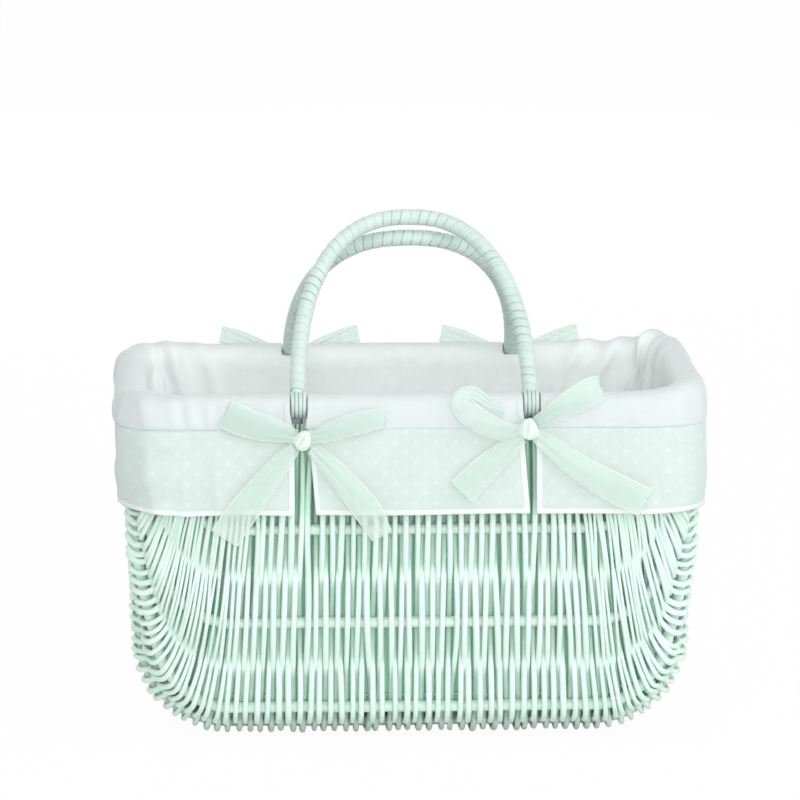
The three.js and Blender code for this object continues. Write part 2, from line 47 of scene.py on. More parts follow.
# Rim hoop and wicker body, the frame's driving sizes
RIM_HALF_LENGTH = 212.0
RIM_HALF_WIDTH = 121.0
RIM_HEIGHT = 264.0
RIM_RADIUS = 5.0
RIM_CORNER_LENGTH = 29.0
RIM_CORNER_WIDTH = 42.0
BASE_HALF_LENGTH = 140.0
BASE_EDGE_HALF_WIDTH = 98.0
BASE_CORNER_RADIUS = 65.0
BASE_EDGE_LIFT = 20.0
EDGE_LIFT_FADE = (0.42, 0.75)
BASE_HEIGHT = 8.88
WALL_BULGE = 11.0
BASE_RIB_SHARE = 0.56
EDGE_SHARE = 0.3
FAN_POWER = 6
RIB_DEPTHS = (0.405, 0.715)
RIB_RADIUS = 4.3
BASE_RIB_RADIUS = 3.9
RIB_END = 0.992
RIM_STRAIGHT = RIM_HALF_LENGTH - RIM_CORNER_LENGTH
RIM_END_HALF_WIDTH = RIM_HALF_WIDTH - RIM_CORNER_WIDTH
CORNER_ARC = BASE_CORNER_RADIUS * math.pi / 2
WALL_FOOT = (BASE_HALF_LENGTH + BASE_CORNER_RADIUS, BASE_HEIGHT + BASE_CORNER_RADIUS)
WALL_RUN = math.hypot(RIM_HALF_LENGTH - WALL_FOOT[0], RIM_HEIGHT - WALL_FOOT[1])
PROFILE_LENGTH = BASE_HALF_LENGTH + CORNER_ARC + WALL_RUN

# Rods of the weave
ROD_PITCH = 4.03
ROD_RADIUS = 2.22
ROD_OUT = 6.7
ROD_SIDES = 8
CROWDED = 0.4
THINNEST = 0.6
PACKING = 1.25
STRIP_MARGIN = 9.0
TOP_LEVEL = 6
ROD_START = 0.02
START_AT_LEG = 0.06
SHORT_START = 0.03
SHORT_TIP = 0.55
START_CLEAR = 0.012
ROD_JITTER = 0.38
ROD_WANDER = (1.3, 2.9)
ROD_SLANT = 36.0
SLANT_RISE = (110, 190)
SLANT_FALL = (335, 88)
SLANT_RUN = 0.36
GRAIN_RADIUS = 2.3
STEM_SHIFT = (37.0, 11.0)

# Cloth
SEAM_HEIGHT = 247.6
SEAM_TOP = 249.0
HEM_HEIGHT = 182.5
HEM_WIDTH = 4.6
LINER_THICKNESS = 0.9
LINER_STEP = 3.0
WALL_FOOT_HEIGHT = 34
WALL_BEND_HEIGHT = 90
WALL_TOP_HEIGHT = 246
SKIRT_THICKNESS = 0.7
SKIRT_STEP = 2.6
SKIRT_ROWS = 27
SKIRT_OUT = 11.7
SKIRT_FLARE = 1.3
SKIRT_WAVE = 1.6
END_START = 165
END_FADE = 45
ROLL_PINCH = 2.4
ROLL_PUFF = 0.6
ROLL_CORNER_PUFF = 0.3
REAR_RISE = 1.6
RIGHT_RISE = 6.5
RIGHT_DRAW = 2.4
# Rows past the top of the liner's wall, where the slits' notches and hems start, and the fold turns out
NOTCH_ROW = 4
HEM_ROW = 12
TURN_ROW = 8
SLIT_PLACE = 87.0
SLIT_HALF_WIDTH = 6.6
LINER_INSET = 11.2
FLOOR_HEIGHT = 22.0
THREAD_PITCH = 0.55
DOT_SHARE = 0.105
DOT_EDGE = 0.6
DOT_STRENGTH = 0.38
DEEPER = 0.93
# How dark the white cotton is painted on the rim's outside, as shares of its colour: painted shade, since
# the outside takes more light than the inside.
CUFF_SHADE = (0.765, 0.79, 0.795)

# Handles
HANDLE_HALF_SPAN = 87.0
HANDLE_REACH = 168.0
ARCH_POWER = 2.4
LOOP_REACH = 11.9
LEG_START = 5.3
CORE_RADIUS = 4.9
CANE_WIDTH = 7.0
CANE_THICKNESS = 1.1
CANE_GAP = 0.18
CANE_STEPS = 20
CRACK_WIDTHS = (0.15, 0.6)
STRAND_SHIFTS = (-4.5, -1.5, 1.5, 4.5)
STRAND_REACH = 8.7
STRAND_RADIUS = 1.48
# Each handle's side, its lean over the basket in degrees, and its share of open turns in the wrap
HANDLES = {"front": (-1, 41.0, 0.3), "rear": (1, 49.0, 0.8)}

# Ribbons
BOW_FACE = RIM_HALF_WIDTH + 16.5
RIBBON_THICKNESS = 0.4
KNOT_TURNS = 56
KNOT_RINGS = 20
CREASES = 10
CREASE_WIDTH = 0.13
CREASE_DEPTH = 0.24


def noise_line(seed, count=6, slowest=1.0, fastest=4.0):
    """A smooth random function of one number, about one in height."""
    draw = np.random.default_rng(seed)
    rates = draw.uniform(slowest, fastest, count)
    phases = draw.uniform(0, 2 * math.pi, count)
    heights = draw.uniform(0.4, 1.0, count)
    heights /= heights.sum()

    def value(x):
        x = np.asarray(x, float)
        waves = np.sin(x[..., None] * rates + phases)
        return (waves * heights).sum(-1)

    return value


def unit(vectors):
    return vectors / np.maximum(np.linalg.norm(vectors, axis=-1, keepdims=True), 1e-12)


def smooth_step(x):
    x = np.clip(x, 0.0, 1.0)
    return x * x * (3 - 2 * x)


def bell(x, width, power=2):
    """1 at 0, and falling to nothing on both sides."""
    return np.exp(-(np.abs(np.asarray(x) / width) ** power))


def run_along(path):
    """The distance along a path at each of its points."""
    return np.concatenate([[0], np.cumsum(np.linalg.norm(np.diff(path, axis=0), axis=1))])


def at_run(run, knots, values):
    """Rows of values, such as points, interpolated at distances along their path."""
    return np.stack([np.interp(run, knots, values[:, k]) for k in range(values.shape[1])], -1)


def curve_through(points, steps):
    """A Catmull-Rom curve through points, with so many steps between each two."""
    points = np.asarray(points, float)
    padded = np.vstack([2 * points[0] - points[1], points, 2 * points[-1] - points[-2]])
    before, here, after, last = padded[:-3], padded[1:-2], padded[2:-1], padded[3:]
    t = (np.arange(steps) / steps)[None, :, None]
    b, h, a, e = (x[:, None, :] for x in (before, here, after, last))
    spans = 0.5 * (
        2 * h + (a - b) * t + (2 * b - 5 * h + 4 * a - e) * t**2 + (3 * h - b - 3 * a + e) * t**3
    )
    return np.vstack([spans.reshape(-1, points.shape[1]), points[-1:]])


# ---- the wicker's middle surface

# The strip is the band of the left end wall, the base and the right end wall. along is the distance from the
# middle of the base on its middle line, and share, from -1 to 1, is the place among the rods that fan out.


def strip_profile(along):
    side = np.where(along < 0, -1.0, 1.0)
    run = np.abs(along)
    turn = np.clip((run - BASE_HALF_LENGTH) / BASE_CORNER_RADIUS, 0, math.pi / 2)
    wall = np.clip((run - BASE_HALF_LENGTH - CORNER_ARC) / WALL_RUN, 0, None)
    reach = np.minimum(run, BASE_HALF_LENGTH) + BASE_CORNER_RADIUS * np.sin(turn)
    x = side * (reach + wall * (RIM_HALF_LENGTH - WALL_FOOT[0]))
    z = BASE_HEIGHT + BASE_CORNER_RADIUS * (1 - np.cos(turn)) + wall * (RIM_HEIGHT - WALL_FOOT[1])
    return x, z, side * np.sin(turn), -np.cos(turn)


def strip_place(share):
    extra = PROFILE_LENGTH - RIM_STRAIGHT
    return RIM_STRAIGHT * share + np.sign(share) * extra * np.abs(share) ** FAN_POWER


SHARE_TABLE = np.linspace(-1, 1, 4001)
PLACE_TABLE = strip_place(SHARE_TABLE)


def share_at(along):
    return np.interp(along, PLACE_TABLE, SHARE_TABLE)


def strip_point(along, across):
    x, z, nx, nz = strip_profile(along)
    rise = np.abs(along) / PROFILE_LENGTH
    half_width = BASE_EDGE_HALF_WIDTH + (RIM_END_HALF_WIDTH - BASE_EDGE_HALF_WIDTH) * rise**2
    edging = np.clip((np.abs(across) - BASE_RIB_SHARE) / (1 - BASE_RIB_SHARE), 0, None)
    fading = 1 - smooth_step((rise - EDGE_LIFT_FADE[0]) / (EDGE_LIFT_FADE[1] - EDGE_LIFT_FADE[0]))
    lift = BASE_EDGE_LIFT * fading * edging**2
    return np.stack([x - nx * lift, half_width * across, z - nz * lift], -1)


def body_point(share, turn):
    """share runs along the basket, and turn from the front rim (-1) under the base to the rear rim (1)."""
    share, turn = np.broadcast_arrays(np.asarray(share, float), np.asarray(turn, float))
    along = strip_place(share)
    on_strip = strip_point(along, np.clip(turn / EDGE_SHARE, -1, 1))
    side = np.where(turn < 0, -1.0, 1.0)
    depth = np.clip((1 - np.abs(turn)) / (1 - EDGE_SHARE), 0, 1)[..., None]
    top = np.stack([RIM_STRAIGHT * share, side * RIM_HALF_WIDTH, np.full_like(share, RIM_HEIGHT)], -1)
    foot = strip_point(along, side)
    pull = np.abs(share) ** 4
    middle = (top + foot) / 2
    middle[..., 0] += np.sign(share) * pull * RIM_CORNER_LENGTH / 2
    middle[..., 1] += side * (WALL_BULGE + (RIM_CORNER_WIDTH / 2 - WALL_BULGE) * pull)
    on_wall = (1 - depth) ** 2 * top + 2 * depth * (1 - depth) * middle + depth**2 * foot
    return np.where((np.abs(turn) <= EDGE_SHARE)[..., None], on_strip, on_wall)


def body_normal(share, turn):
    step = 1e-3
    s = np.clip(share, -1 + step, 1 - step)
    t = np.clip(turn, -1 + step, 1 - step)
    along = body_point(s + step, t) - body_point(s - step, t)
    across = body_point(s, t + step) - body_point(s, t - step)
    return unit(np.cross(across, along))


def turn_of_depth(depth):
    return 1 - depth * (1 - EDGE_SHARE)


UPPER, MIDDLE = (turn_of_depth(d) for d in RIB_DEPTHS)
BASE_TURN = EDGE_SHARE * BASE_RIB_SHARE
RIB_TURNS = np.array([-UPPER, -MIDDLE, -EDGE_SHARE, -BASE_TURN, 0, BASE_TURN, EDGE_SHARE, MIDDLE, UPPER])

# ---- meshes


def new_object(name, points, faces, material, attributes):
    """A smooth mesh object from points in millimetres. Attributes have a number or three for each point."""
    mesh = bpy.data.meshes.new(name)
    mesh.from_pydata((np.asarray(points, float) * MM).tolist(), [], faces)
    mesh.validate()
    mesh.update()
    mesh.polygons.foreach_set("use_smooth", [True] * len(mesh.polygons))
    for label, values in attributes.items():
        kind, field = ("FLOAT_VECTOR", "vector") if values.ndim > 1 else ("FLOAT", "value")
        layer = mesh.attributes.new(label, kind, "POINT")
        layer.data.foreach_set(field, np.asarray(values, np.float32).ravel())
    mesh.materials.append(material)
    made = bpy.data.objects.new(name, mesh)
    bpy.context.scene.collection.objects.link(made)
    return made


def grid_faces(rows, columns, wrap=False, first=0):
    """Quads of a grid of rows by columns of points, closed across its columns where it wraps."""
    i, j = np.arange(rows - 1), np.arange(columns if wrap else columns - 1)
    i, j = (x.ravel() for x in np.meshgrid(i, j, indexing="ij"))
    k, m = i + 1, (j + 1) % columns
    quads = np.stack([i * columns + j, i * columns + m, k * columns + m, k * columns + j], -1) + first
    return quads.tolist()


def tube_faces(rings, sides, first=0):
    """Faces of a closed tube: its wall and an end face on its first and last ring."""
    last = first + (rings - 1) * sides
    ends = [list(range(first + sides - 1, first - 1, -1)), list(range(last, last + sides))]
    return grid_faces(rings, sides, wrap=True, first=first) + ends


class Tubes:
    """Many round rods gathered in one mesh. Their stem attribute is the place on the rod, for its grain, and
    another mark deepens their green where they lie in shade: painted shade.
    """

    def __init__(self, sides):
        self.sides = sides
        self.rings = []
        self.faces = []
        self.marks = {"stem": [], "tone": [], "painted_shade": []}
        self.count = 0

    def add(self, path, radii, up, tone, seed, painted_shade=0.0):
        tangent = unit(np.gradient(path, axis=0))
        side = unit(np.cross(up, tangent))
        over = np.cross(tangent, side)
        rows, sides = len(path), self.sides
        angle = 2 * math.pi * np.arange(sides) / sides
        spoke = np.cos(angle)[None, :, None] * side[:, None] + np.sin(angle)[None, :, None] * over[:, None]
        radii = np.broadcast_to(radii, rows)
        self.rings.append((path[:, None] + radii[:, None, None] * spoke).reshape(-1, 3))
        self.faces += tube_faces(rows, sides, self.count)
        self.count += rows * sides
        stem = (
            np.repeat(run_along(path), sides) + STEM_SHIFT[0] * seed,
            np.tile(np.cos(angle), rows) * GRAIN_RADIUS + STEM_SHIFT[1] * seed,
            np.tile(np.sin(angle), rows) * GRAIN_RADIUS,
        )
        self.marks["stem"].append(np.stack(stem, -1))
        self.marks["tone"].append(np.full(rows * sides, tone))
        self.marks["painted_shade"].append(np.repeat(np.broadcast_to(painted_shade, rows), sides))

    def make(self, name, material):
        points = np.vstack(self.rings)
        points[:, 2] = np.maximum(points[:, 2], 0.0)
        marks = {label: np.concatenate(values) for label, values in self.marks.items()}
        return new_object(name, points, self.faces, material, marks)


def one_tube(name, path, radii, up, tone, seed, sides=14):
    """A round rod of its own, of painted willow."""
    tubes = Tubes(sides)
    tubes.add(path, radii, np.broadcast_to(up, path.shape), tone, seed)
    return tubes.make(name, WILLOW)


# ---- materials


class Nodes:
    """The node tree of a material or world, written as calls."""

    def __init__(self, owner, output="ShaderNodeOutputMaterial"):
        owner.use_nodes = True
        self.owner = owner
        self.tree = owner.node_tree
        self.tree.nodes.clear()
        self.surface = self.add(output).inputs["Surface"]

    def add(self, kind, inputs=None, **settings):
        """A node with its settings, and its inputs by name or number."""
        node = self.tree.nodes.new(kind)
        for key, value in settings.items():
            setattr(node, key, value)
        for key, value in (inputs or {}).items():
            self.put(value, node.inputs[key])
        return node

    def put(self, value, socket):
        """A number or colour goes on the socket, and another node's output is linked to it."""
        if hasattr(value, "is_output"):
            self.tree.links.new(value, socket)
        else:
            socket.default_value = value

    def principled(self, **inputs):
        """The shader, with its inputs in Blender's names and an underscore for a space."""
        named = {key.replace("_", " "): value for key, value in inputs.items()}
        return self.add("ShaderNodeBsdfPrincipled", named).outputs["BSDF"]

    def blend(self, factor, a, b):
        """The surface changes from one shader to the other."""
        self.put(self.add("ShaderNodeMixShader", {0: factor, 1: a, 2: b}).outputs[0], self.surface)

    def seen_directly(self):
        """1 for what the camera, a reflection or clear cloth shows, and 0 for light that falls on things."""
        rays = self.add("ShaderNodeLightPath").outputs
        seen = self.math("MAXIMUM", rays["Is Camera Ray"], rays["Is Glossy Ray"])
        return self.math("MAXIMUM", seen, rays["Is Transmission Ray"])

    def attribute(self, name, output="Fac"):
        return self.add("ShaderNodeAttribute", attribute_name=name).outputs[output]

    def math(self, operation, a, b=0.0):
        return self.add("ShaderNodeMath", {0: a, 1: b}, operation=operation).outputs[0]

    def vector(self, operation, a, b=None, output=0):
        inputs = {0: a} if b is None else {0: a, 1: b}
        return self.add("ShaderNodeVectorMath", inputs, operation=operation).outputs[output]

    def noise(self, place, stretch, detail=3.0, roughness=0.5, scale=1.0):
        """Noise on a place whose axes are stretched first."""
        names = ("Vector", "Scale", "Detail", "Roughness")
        inputs = dict(zip(names, (self.vector("MULTIPLY", place, stretch), scale, detail, roughness)))
        return self.add("ShaderNodeTexNoise", inputs).outputs["Fac"]

    def ramp(self, value, low, high, to_low=0.0, to_high=1.0):
        names = ("Value", "From Min", "From Max", "To Min", "To Max")
        inputs = dict(zip(names, (value, low, high, to_low, to_high)))
        return self.add("ShaderNodeMapRange", inputs, clamp=True).outputs["Result"]

    def mix(self, factor, a, b):
        return self.add("ShaderNodeMix", {0: factor, 6: a, 7: b}, data_type="RGBA").outputs[2]

    def bump(self, height, strength, distance, below=None):
        inputs = {"Strength": strength, "Distance": distance, "Height": height}
        if below is not None:
            inputs["Normal"] = below
        return self.add("ShaderNodeBump", inputs).outputs["Normal"]

    def split(self, vector):
        return self.add("ShaderNodeSeparateXYZ", {0: vector}).outputs

    def object_place(self):
        return self.add("ShaderNodeTexCoord").outputs["Object"]


def paint(red, green, blue):
    """A colour given as it looks on a screen, from 0 to 255."""
    linear = []
    for level in (red, green, blue):
        c = level / 255
        linear.append(c / 12.92 if c <= 0.04045 else ((c + 0.055) / 1.055) ** 2.4)
    return (*linear, 1.0)


def willow_material(name, light, deep, knot):
    """Painted willow: grain along the rod, patchy paint, and painted shade: a deeper green where the rod
    lies inwards among the others or hangs behind the skirt.
    """
    n = Nodes(bpy.data.materials.new(name))
    stem = n.attribute("stem", "Vector")
    painted_shade = n.attribute("painted_shade")
    grain = n.noise(stem, (0.03, 1.2, 1.2), 4.0, 0.65)
    patches = n.noise(stem, (0.02, 0.05, 0.05))
    speckle = n.noise(stem, (0.5, 0.5, 0.5), 2.0)
    lumps = n.noise(stem, (0.06, 0.15, 0.15), 2.0)
    colour = n.mix(n.ramp(n.attribute("tone"), 0.0, 1.0), deep, light)
    colour = n.mix(n.ramp(patches, 0.35, 0.7, 0.0, 0.45), colour, light)
    colour = n.mix(n.ramp(grain, 0.2, 0.42, 0.35, 0.0), colour, knot)
    # Painted shade: the knot colour is laid over rods that lie inwards, and more strongly over rods behind
    # the skirt, for the shade they lie in.
    colour = n.mix(n.ramp(painted_shade, 0.0, 1.0, 0.0, 0.35), colour, knot)
    colour = n.mix(n.ramp(painted_shade, 1.0, 1.8, 0.0, 0.7), colour, knot)
    shader = n.principled(
        Base_Color=colour,
        Roughness=n.ramp(speckle, 0.3, 0.7, 0.38, 0.6),
        Normal=n.bump(lumps, 0.4, 0.0012, n.bump(grain, 0.35, 0.0006)),
        Specular_IOR_Level=0.22,
        Coat_Weight=0.02,
        Coat_Roughness=0.35,
    )
    n.put(shader, n.surface)
    return n.owner


def outward_below(n, height):
    """1 on faces that look out of the basket, lower than a height in millimetres, and 0 elsewhere."""
    place = n.object_place()
    from_middle = n.vector("NORMALIZE", n.vector("MULTIPLY", place, (1.0, 1.0, 0.0)))
    normal = n.add("ShaderNodeNewGeometry").outputs["Normal"]
    facing = n.vector("DOT_PRODUCT", from_middle, normal, "Value")
    low = n.math("LESS_THAN", n.split(place)[2], height * MM)
    return n.math("MULTIPLY", low, n.math("GREATER_THAN", facing, 0.45))


def polka_dots(n, across, down, pitch):
    """How strongly the dots of a staggered grid show, with places and the pitch in millimetres."""
    radius = pitch * DOT_SHARE
    row = n.math("DIVIDE", down, pitch / 2)
    odd = n.math("MODULO", n.math("FLOOR", row), 2.0)
    column = n.math("ADD", n.math("DIVIDE", across, pitch), n.math("MULTIPLY", odd, 0.5))
    squares = []
    for place, size in ((column, pitch), (row, pitch / 2)):
        off = n.math("MULTIPLY", n.math("SUBTRACT", n.math("FRACT", place), 0.5), size)
        squares.append(n.math("MULTIPLY", off, off))
    far = n.math("SQRT", n.math("ADD", *squares))
    return n.ramp(far, radius, radius + DOT_EDGE, DOT_STRENGTH, 0.0)


def cloth_material(name, body, hem_colour, dots=None, alpha=1.0, sheen=0.25, painted_bounce_light=None):
    """Plain woven cloth.

    The cloth attribute's x and y are the place on the flat cut, and z is 1 on the rim's outside and on
    knots; on the white cotton it paints the rim's outside darker, a painted shade for the stronger light
    there. hem is 1 on sewn hems, and on knots it is highest between the creases, so the creases are painted
    darker, a painted shade. dots are a pitch and a colour, and the last colour is a light green painted on
    the cotton's outer face below the seam, seen through the weave: painted bounce light from the green rods.
    """
    n = Nodes(bpy.data.materials.new(name))
    place = n.attribute("cloth", "Vector")
    hem = n.attribute("hem")
    across, down, outer = n.split(place)
    mottle = n.noise(place, (0.03, 0.03, 0.03), 4.0, 0.6)
    slubs = n.noise(place, (0.05, 1.6, 1.0), 3.0, 0.6)
    deeper = (*(c * DEEPER for c in body[:3]), 1.0)
    shaded_cuff = (*(c * share for c, share in zip(body, CUFF_SHADE)), 1.0)
    colour = n.mix(n.ramp(mottle, 0.3, 0.7), deeper, body)
    colour = n.mix(n.ramp(slubs, 0.55, 0.8, 0.0, 0.25), colour, hem_colour)
    if dots:
        colour = n.mix(polka_dots(n, across, down, dots[0]), colour, dots[1])
    colour = n.mix(n.ramp(hem, 0.3, 0.7), colour, hem_colour)
    if painted_bounce_light:
        # Painted shade: the cotton is painted darker on the rim's outside, which takes more light than the
        # inside.
        colour = n.mix(outer, colour, shaded_cuff)
        # Painted bounce light: the cotton's outer face below the seam, seen only through the weave, is
        # painted light green for the green light that the rods bounce in there.
        colour = n.mix(outward_below(n, SEAM_HEIGHT - 1.0), colour, painted_bounce_light)
    if alpha < 1.0:
        alpha = n.math("MAXIMUM", n.ramp(hem, 0.3, 0.8, alpha, 0.85), n.math("MULTIPLY", outer, 0.9))
    thread = 2 * math.pi / THREAD_PITCH
    warp, weft = (n.math("SINE", n.math("MULTIPLY", way, thread)) for way in (across, down))
    woven = n.bump(n.math("MULTIPLY", warp, weft), 0.25, 0.0002)
    creases = n.bump(mottle, 0.35, 0.004, woven)
    shader = n.principled(
        Base_Color=colour,
        Roughness=0.85,
        Specular_IOR_Level=0.25,
        Sheen_Weight=sheen,
        Sheen_Roughness=0.5,
        Alpha=alpha,
        Normal=n.bump(n.ramp(hem, 0.35, 0.6), 0.6, 0.0006, creases),
    )
    n.put(shader, n.surface)
    return n.owner


WILLOW = willow_material("painted_willow", paint(229, 245, 238), paint(220, 243, 233), paint(180, 238, 210))
CANE = willow_material("painted_cane", paint(212, 226, 222), paint(200, 217, 211), paint(150, 184, 172))
# The white cotton's last colour is painted bounce light: a light green on its outer face below the seam,
# seen only through the weave.
WHITE_CLOTH = cloth_material(
    "white_cotton", paint(245, 249, 248), paint(240, 245, 244), painted_bounce_light=paint(206, 250, 229)
)
MINT_CLOTH = cloth_material(
    "mint_voile", paint(213, 225, 221), paint(232, 238, 236), dots=(15.0, paint(222, 233, 229))
)
RIBBON_CLOTH = cloth_material(
    "mint_ribbon", paint(234, 250, 243), paint(246, 252, 249), alpha=0.36, sheen=0.4
)

# ---- the wicker


# The turns at which a rod meets the two rims and the ribs, and how far out of the middle surface it lies
# there: out at every second rib, and in at the rest.
CROSSINGS = np.array([-1.0, *RIB_TURNS, 1.0])
CROSSING_OUT = np.array([0, 1, -1, 1, -0.93, 0.93, -0.93, 1, -1, 1, 0]) * ROD_OUT


def out_at(turn, parity):
    """How far out of the middle surface a rod lies. parity is 1 or -1, and differs between neighbours."""
    place = np.clip(np.searchsorted(CROSSINGS, turn, side="right") - 1, 0, len(CROSSINGS) - 2)
    part = (turn - CROSSINGS[place]) / (CROSSINGS[place + 1] - CROSSINGS[place])
    ease = (1 - np.cos(math.pi * part)) / 2
    near, far = CROSSING_OUT[place] * parity, CROSSING_OUT[place + 1] * parity
    return near + (far - near) * ease


def start_depth(level, share):
    """How far down the wall a rod of one level starts, where there is room for it among its neighbours."""
    fan = (PROFILE_LENGTH - RIM_STRAIGHT) * FAN_POWER * abs(share) ** (FAN_POWER - 1)
    crowd = RIM_STRAIGHT / (RIM_STRAIGHT + fan)
    need = CROWDED / 2**level
    if crowd >= need:
        return 0.0
    return min(1.0, (need - crowd) / (1 - crowd))


def rod_knots(start):
    """The turns at which a rod's course is set: its two starts, and four in each span between ribs."""
    spans = zip(CROSSINGS, CROSSINGS[1:])
    turns = [near + (far - near) * part / 4 for near, far in spans for part in range(4)]
    last = turn_of_depth(start)
    return np.array([-last, *(turn for turn in turns if abs(turn) < last - START_CLEAR), last])


def rod_level(order):
    """How many times a pair of rods is halved away: pairs of a low level drop out first where rods crowd."""
    pair = order // 2
    level = 0
    while pair > 0 and pair % 2 == 0 and level < TOP_LEVEL:
        pair //= 2
        level += 1
    return TOP_LEVEL if order < 2 else level


def slant_at(place):
    """How far along the strip a rod's upper part stands back from its lower part, near the basket's ends."""
    rising = smooth_step((place - SLANT_RISE[0]) / SLANT_RISE[1])
    falling = 1 - smooth_step((place - SLANT_FALL[0]) / SLANT_FALL[1])
    return ROD_SLANT * rising * falling


def rod_shares(place, side, turns):
    """A rod's share at each turn: the rods fan outwards as they come down to the edge rib."""
    depth = (1 - np.abs(turns)) / (1 - EDGE_SHARE)
    above = np.clip((1 - depth) / SLANT_RUN, 0, 1)
    leaned = slant_at(place) * (1 - (1 - above) ** 2)
    return share_at(side * (place - leaned))


def make_rods():
    """Every rod of the weave, each from the front rim under the base to the rear rim."""
    draw = np.random.default_rng(21)
    tubes = Tubes(ROD_SIDES)
    count = 2 * int((PROFILE_LENGTH - STRIP_MARGIN) / ROD_PITCH / 2)
    loop_room = (LOOP_REACH + ROD_RADIUS) / 2
    for index in (*range(-count, 0), *range(1, count + 1)):
        place = (abs(index) - 0.5) * ROD_PITCH + draw.normal(0, ROD_JITTER)
        side = math.copysign(1, index)
        share = float(share_at(side * (place - slant_at(place))))
        order = abs(index) - 1
        start = max(start_depth(rod_level(order), share), ROD_START)
        if abs(abs(RIM_STRAIGHT * share) - HANDLE_HALF_SPAN) < loop_room:
            start = max(start, START_AT_LEG)
        is_short = start > SHORT_START
        parity = 1.0 if (order + (index < 0)) % 2 == 0 else -1.0
        turns = rod_knots(start)
        shares = rod_shares(place, side, turns)
        normal = body_normal(shares, turns)
        base = body_point(shares, turns)
        beside = body_point(rod_shares(place + 1.0, side, turns), turns)
        room = np.clip(np.linalg.norm(beside - base, axis=1) * PACKING, THINNEST, 1)
        sideways = unit(np.cross(normal, unit(np.gradient(base, axis=0))))
        wander = noise_line(1000 + index, 5, 4.0, 14.0)(turns) * draw.uniform(*ROD_WANDER)
        squash = 1 + draw.normal(0, 0.05)
        out = out_at(turns, parity) * squash + draw.normal(0, 0.12, len(turns))
        if is_short:
            out[[0, -1]] *= 0.3
        path = curve_through(base + normal * out[:, None] + sideways * wander[:, None], 4)
        upward = unit(curve_through(normal, 4))
        radius = ROD_RADIUS * draw.uniform(0.86, 1.12)
        along = np.linspace(0, 1, len(path))
        taper = 1 + draw.uniform(-0.1, 0.1) * (2 * along - 1)
        radii = radius * taper * (1 + 0.05 * noise_line(5000 + index, 5, 10.0, 40.0)(along * 3))
        radii = radii * curve_through(room[:, None], 4)[:, 0]
        if is_short:
            radii *= SHORT_TIP + (1 - SHORT_TIP) * smooth_step(np.minimum(along, 1 - along) * len(path) / 9)
        # Painted shade: a rod gets more of the deeper green the further inwards it lies, and most above the
        # hem, where it hangs in the skirt's shade.
        painted_shade = np.clip(curve_through(-out[:, None] / ROD_OUT, 4)[:, 0], 0, 1)
        shade_behind_skirt = smooth_step((path[:, 2] - HEM_HEIGHT + 6) / 10)
        tubes.add(path, radii, upward, draw.uniform(0, 1), index, painted_shade + shade_behind_skirt)
    return tubes.make("willow_rods", WILLOW)


RIB_NAMES = (
    "rib_front_upper", "rib_front_middle", "rib_front_edge", "rib_base_front", "rib_base_middle",
    "rib_base_rear", "rib_rear_edge", "rib_rear_middle", "rib_rear_upper",
)


def make_ribs():
    draw = np.random.default_rng(5)
    made = {}
    places = np.linspace(-1, 1, 220)
    for index, (name, turn) in enumerate(zip(RIB_NAMES, RIB_TURNS)):
        on_strip = abs(turn) <= EDGE_SHARE
        shares = share_at(places * PROFILE_LENGTH * RIB_END) if on_strip else places * RIB_END
        normal = body_normal(shares, turn)
        bend = 0.4 * noise_line(60 + index, 6, 2.0, 14.0)(places * 3)
        path = body_point(shares, turn) + normal * bend[:, None]
        radius = BASE_RIB_RADIUS if abs(turn) < EDGE_SHARE else RIB_RADIUS
        radii = radius * (1 + 0.04 * noise_line(80 + index, 6, 3.0, 20.0)(places * 3))
        made[name] = one_tube(f"willow_{name}", path, radii, normal, draw.uniform(0.2, 0.8), index + 700)
    return made


def rim_quarter(steps):
    t = np.linspace(0, 1, steps)[:, None]
    start = np.array([RIM_STRAIGHT, RIM_HALF_WIDTH])
    bend = np.array([RIM_HALF_LENGTH, RIM_HALF_WIDTH])
    end = np.array([RIM_HALF_LENGTH, RIM_END_HALF_WIDTH])
    return (1 - t) ** 2 * start + 2 * t * (1 - t) * bend + t**2 * end


def rim_line():
    """The closed line of the rim from the middle of the front, to the right and round, closely stepped."""
    corner = rim_quarter(40)
    straight = np.stack([np.linspace(0, RIM_STRAIGHT, 90)[:-1], np.full(89, RIM_HALF_WIDTH)], -1)
    end = np.stack([np.full(39, RIM_HALF_LENGTH), np.linspace(RIM_END_HALF_WIDTH, 0, 40)[1:]], -1)
    quarter = np.vstack([straight, corner, end])
    front_right = quarter * [1, -1]
    rear_right = quarter[::-1][1:]
    rear_left = (quarter * [-1, 1])[1:]
    front_left = (quarter * [-1, -1])[::-1][1:-1]
    return np.vstack([front_right, rear_right, rear_left, front_left])


RIM_LINE = rim_line()
RIM_CLOSED = np.vstack([RIM_LINE, RIM_LINE[:1]])
RIM_RUN = run_along(RIM_CLOSED)
RIM_GIRTH = RIM_RUN[-1]


def rim_at(run):
    """The rim's place and outward direction at a distance round it from the middle of the front."""
    run = np.asarray(run, float) % RIM_GIRTH
    here, after, before = (at_run((run + step) % RIM_GIRTH, RIM_RUN, RIM_CLOSED) for step in (0, 2.5, -2.5))
    ahead = unit(after - before)
    return here, np.stack([ahead[..., 1], -ahead[..., 0]], -1)


def around(run, centre):
    """The signed distance round the rim from a place on it."""
    return (np.asarray(run) - centre + RIM_GIRTH / 2) % RIM_GIRTH - RIM_GIRTH / 2


def four_runs(distance):
    """Places round the rim this far from the middle of the front and of the rear, in order."""
    half = RIM_GIRTH / 2
    return [distance, half - distance, half + distance, RIM_GIRTH - distance]


SLIT_RUNS = four_runs(SLIT_PLACE)
CORNER_RUNS = four_runs(RIM_STRAIGHT + 24.0)


def corner_weight(run, width=62.0):
    return bell(np.min([np.abs(around(run, c)) for c in CORNER_RUNS], axis=0), width)


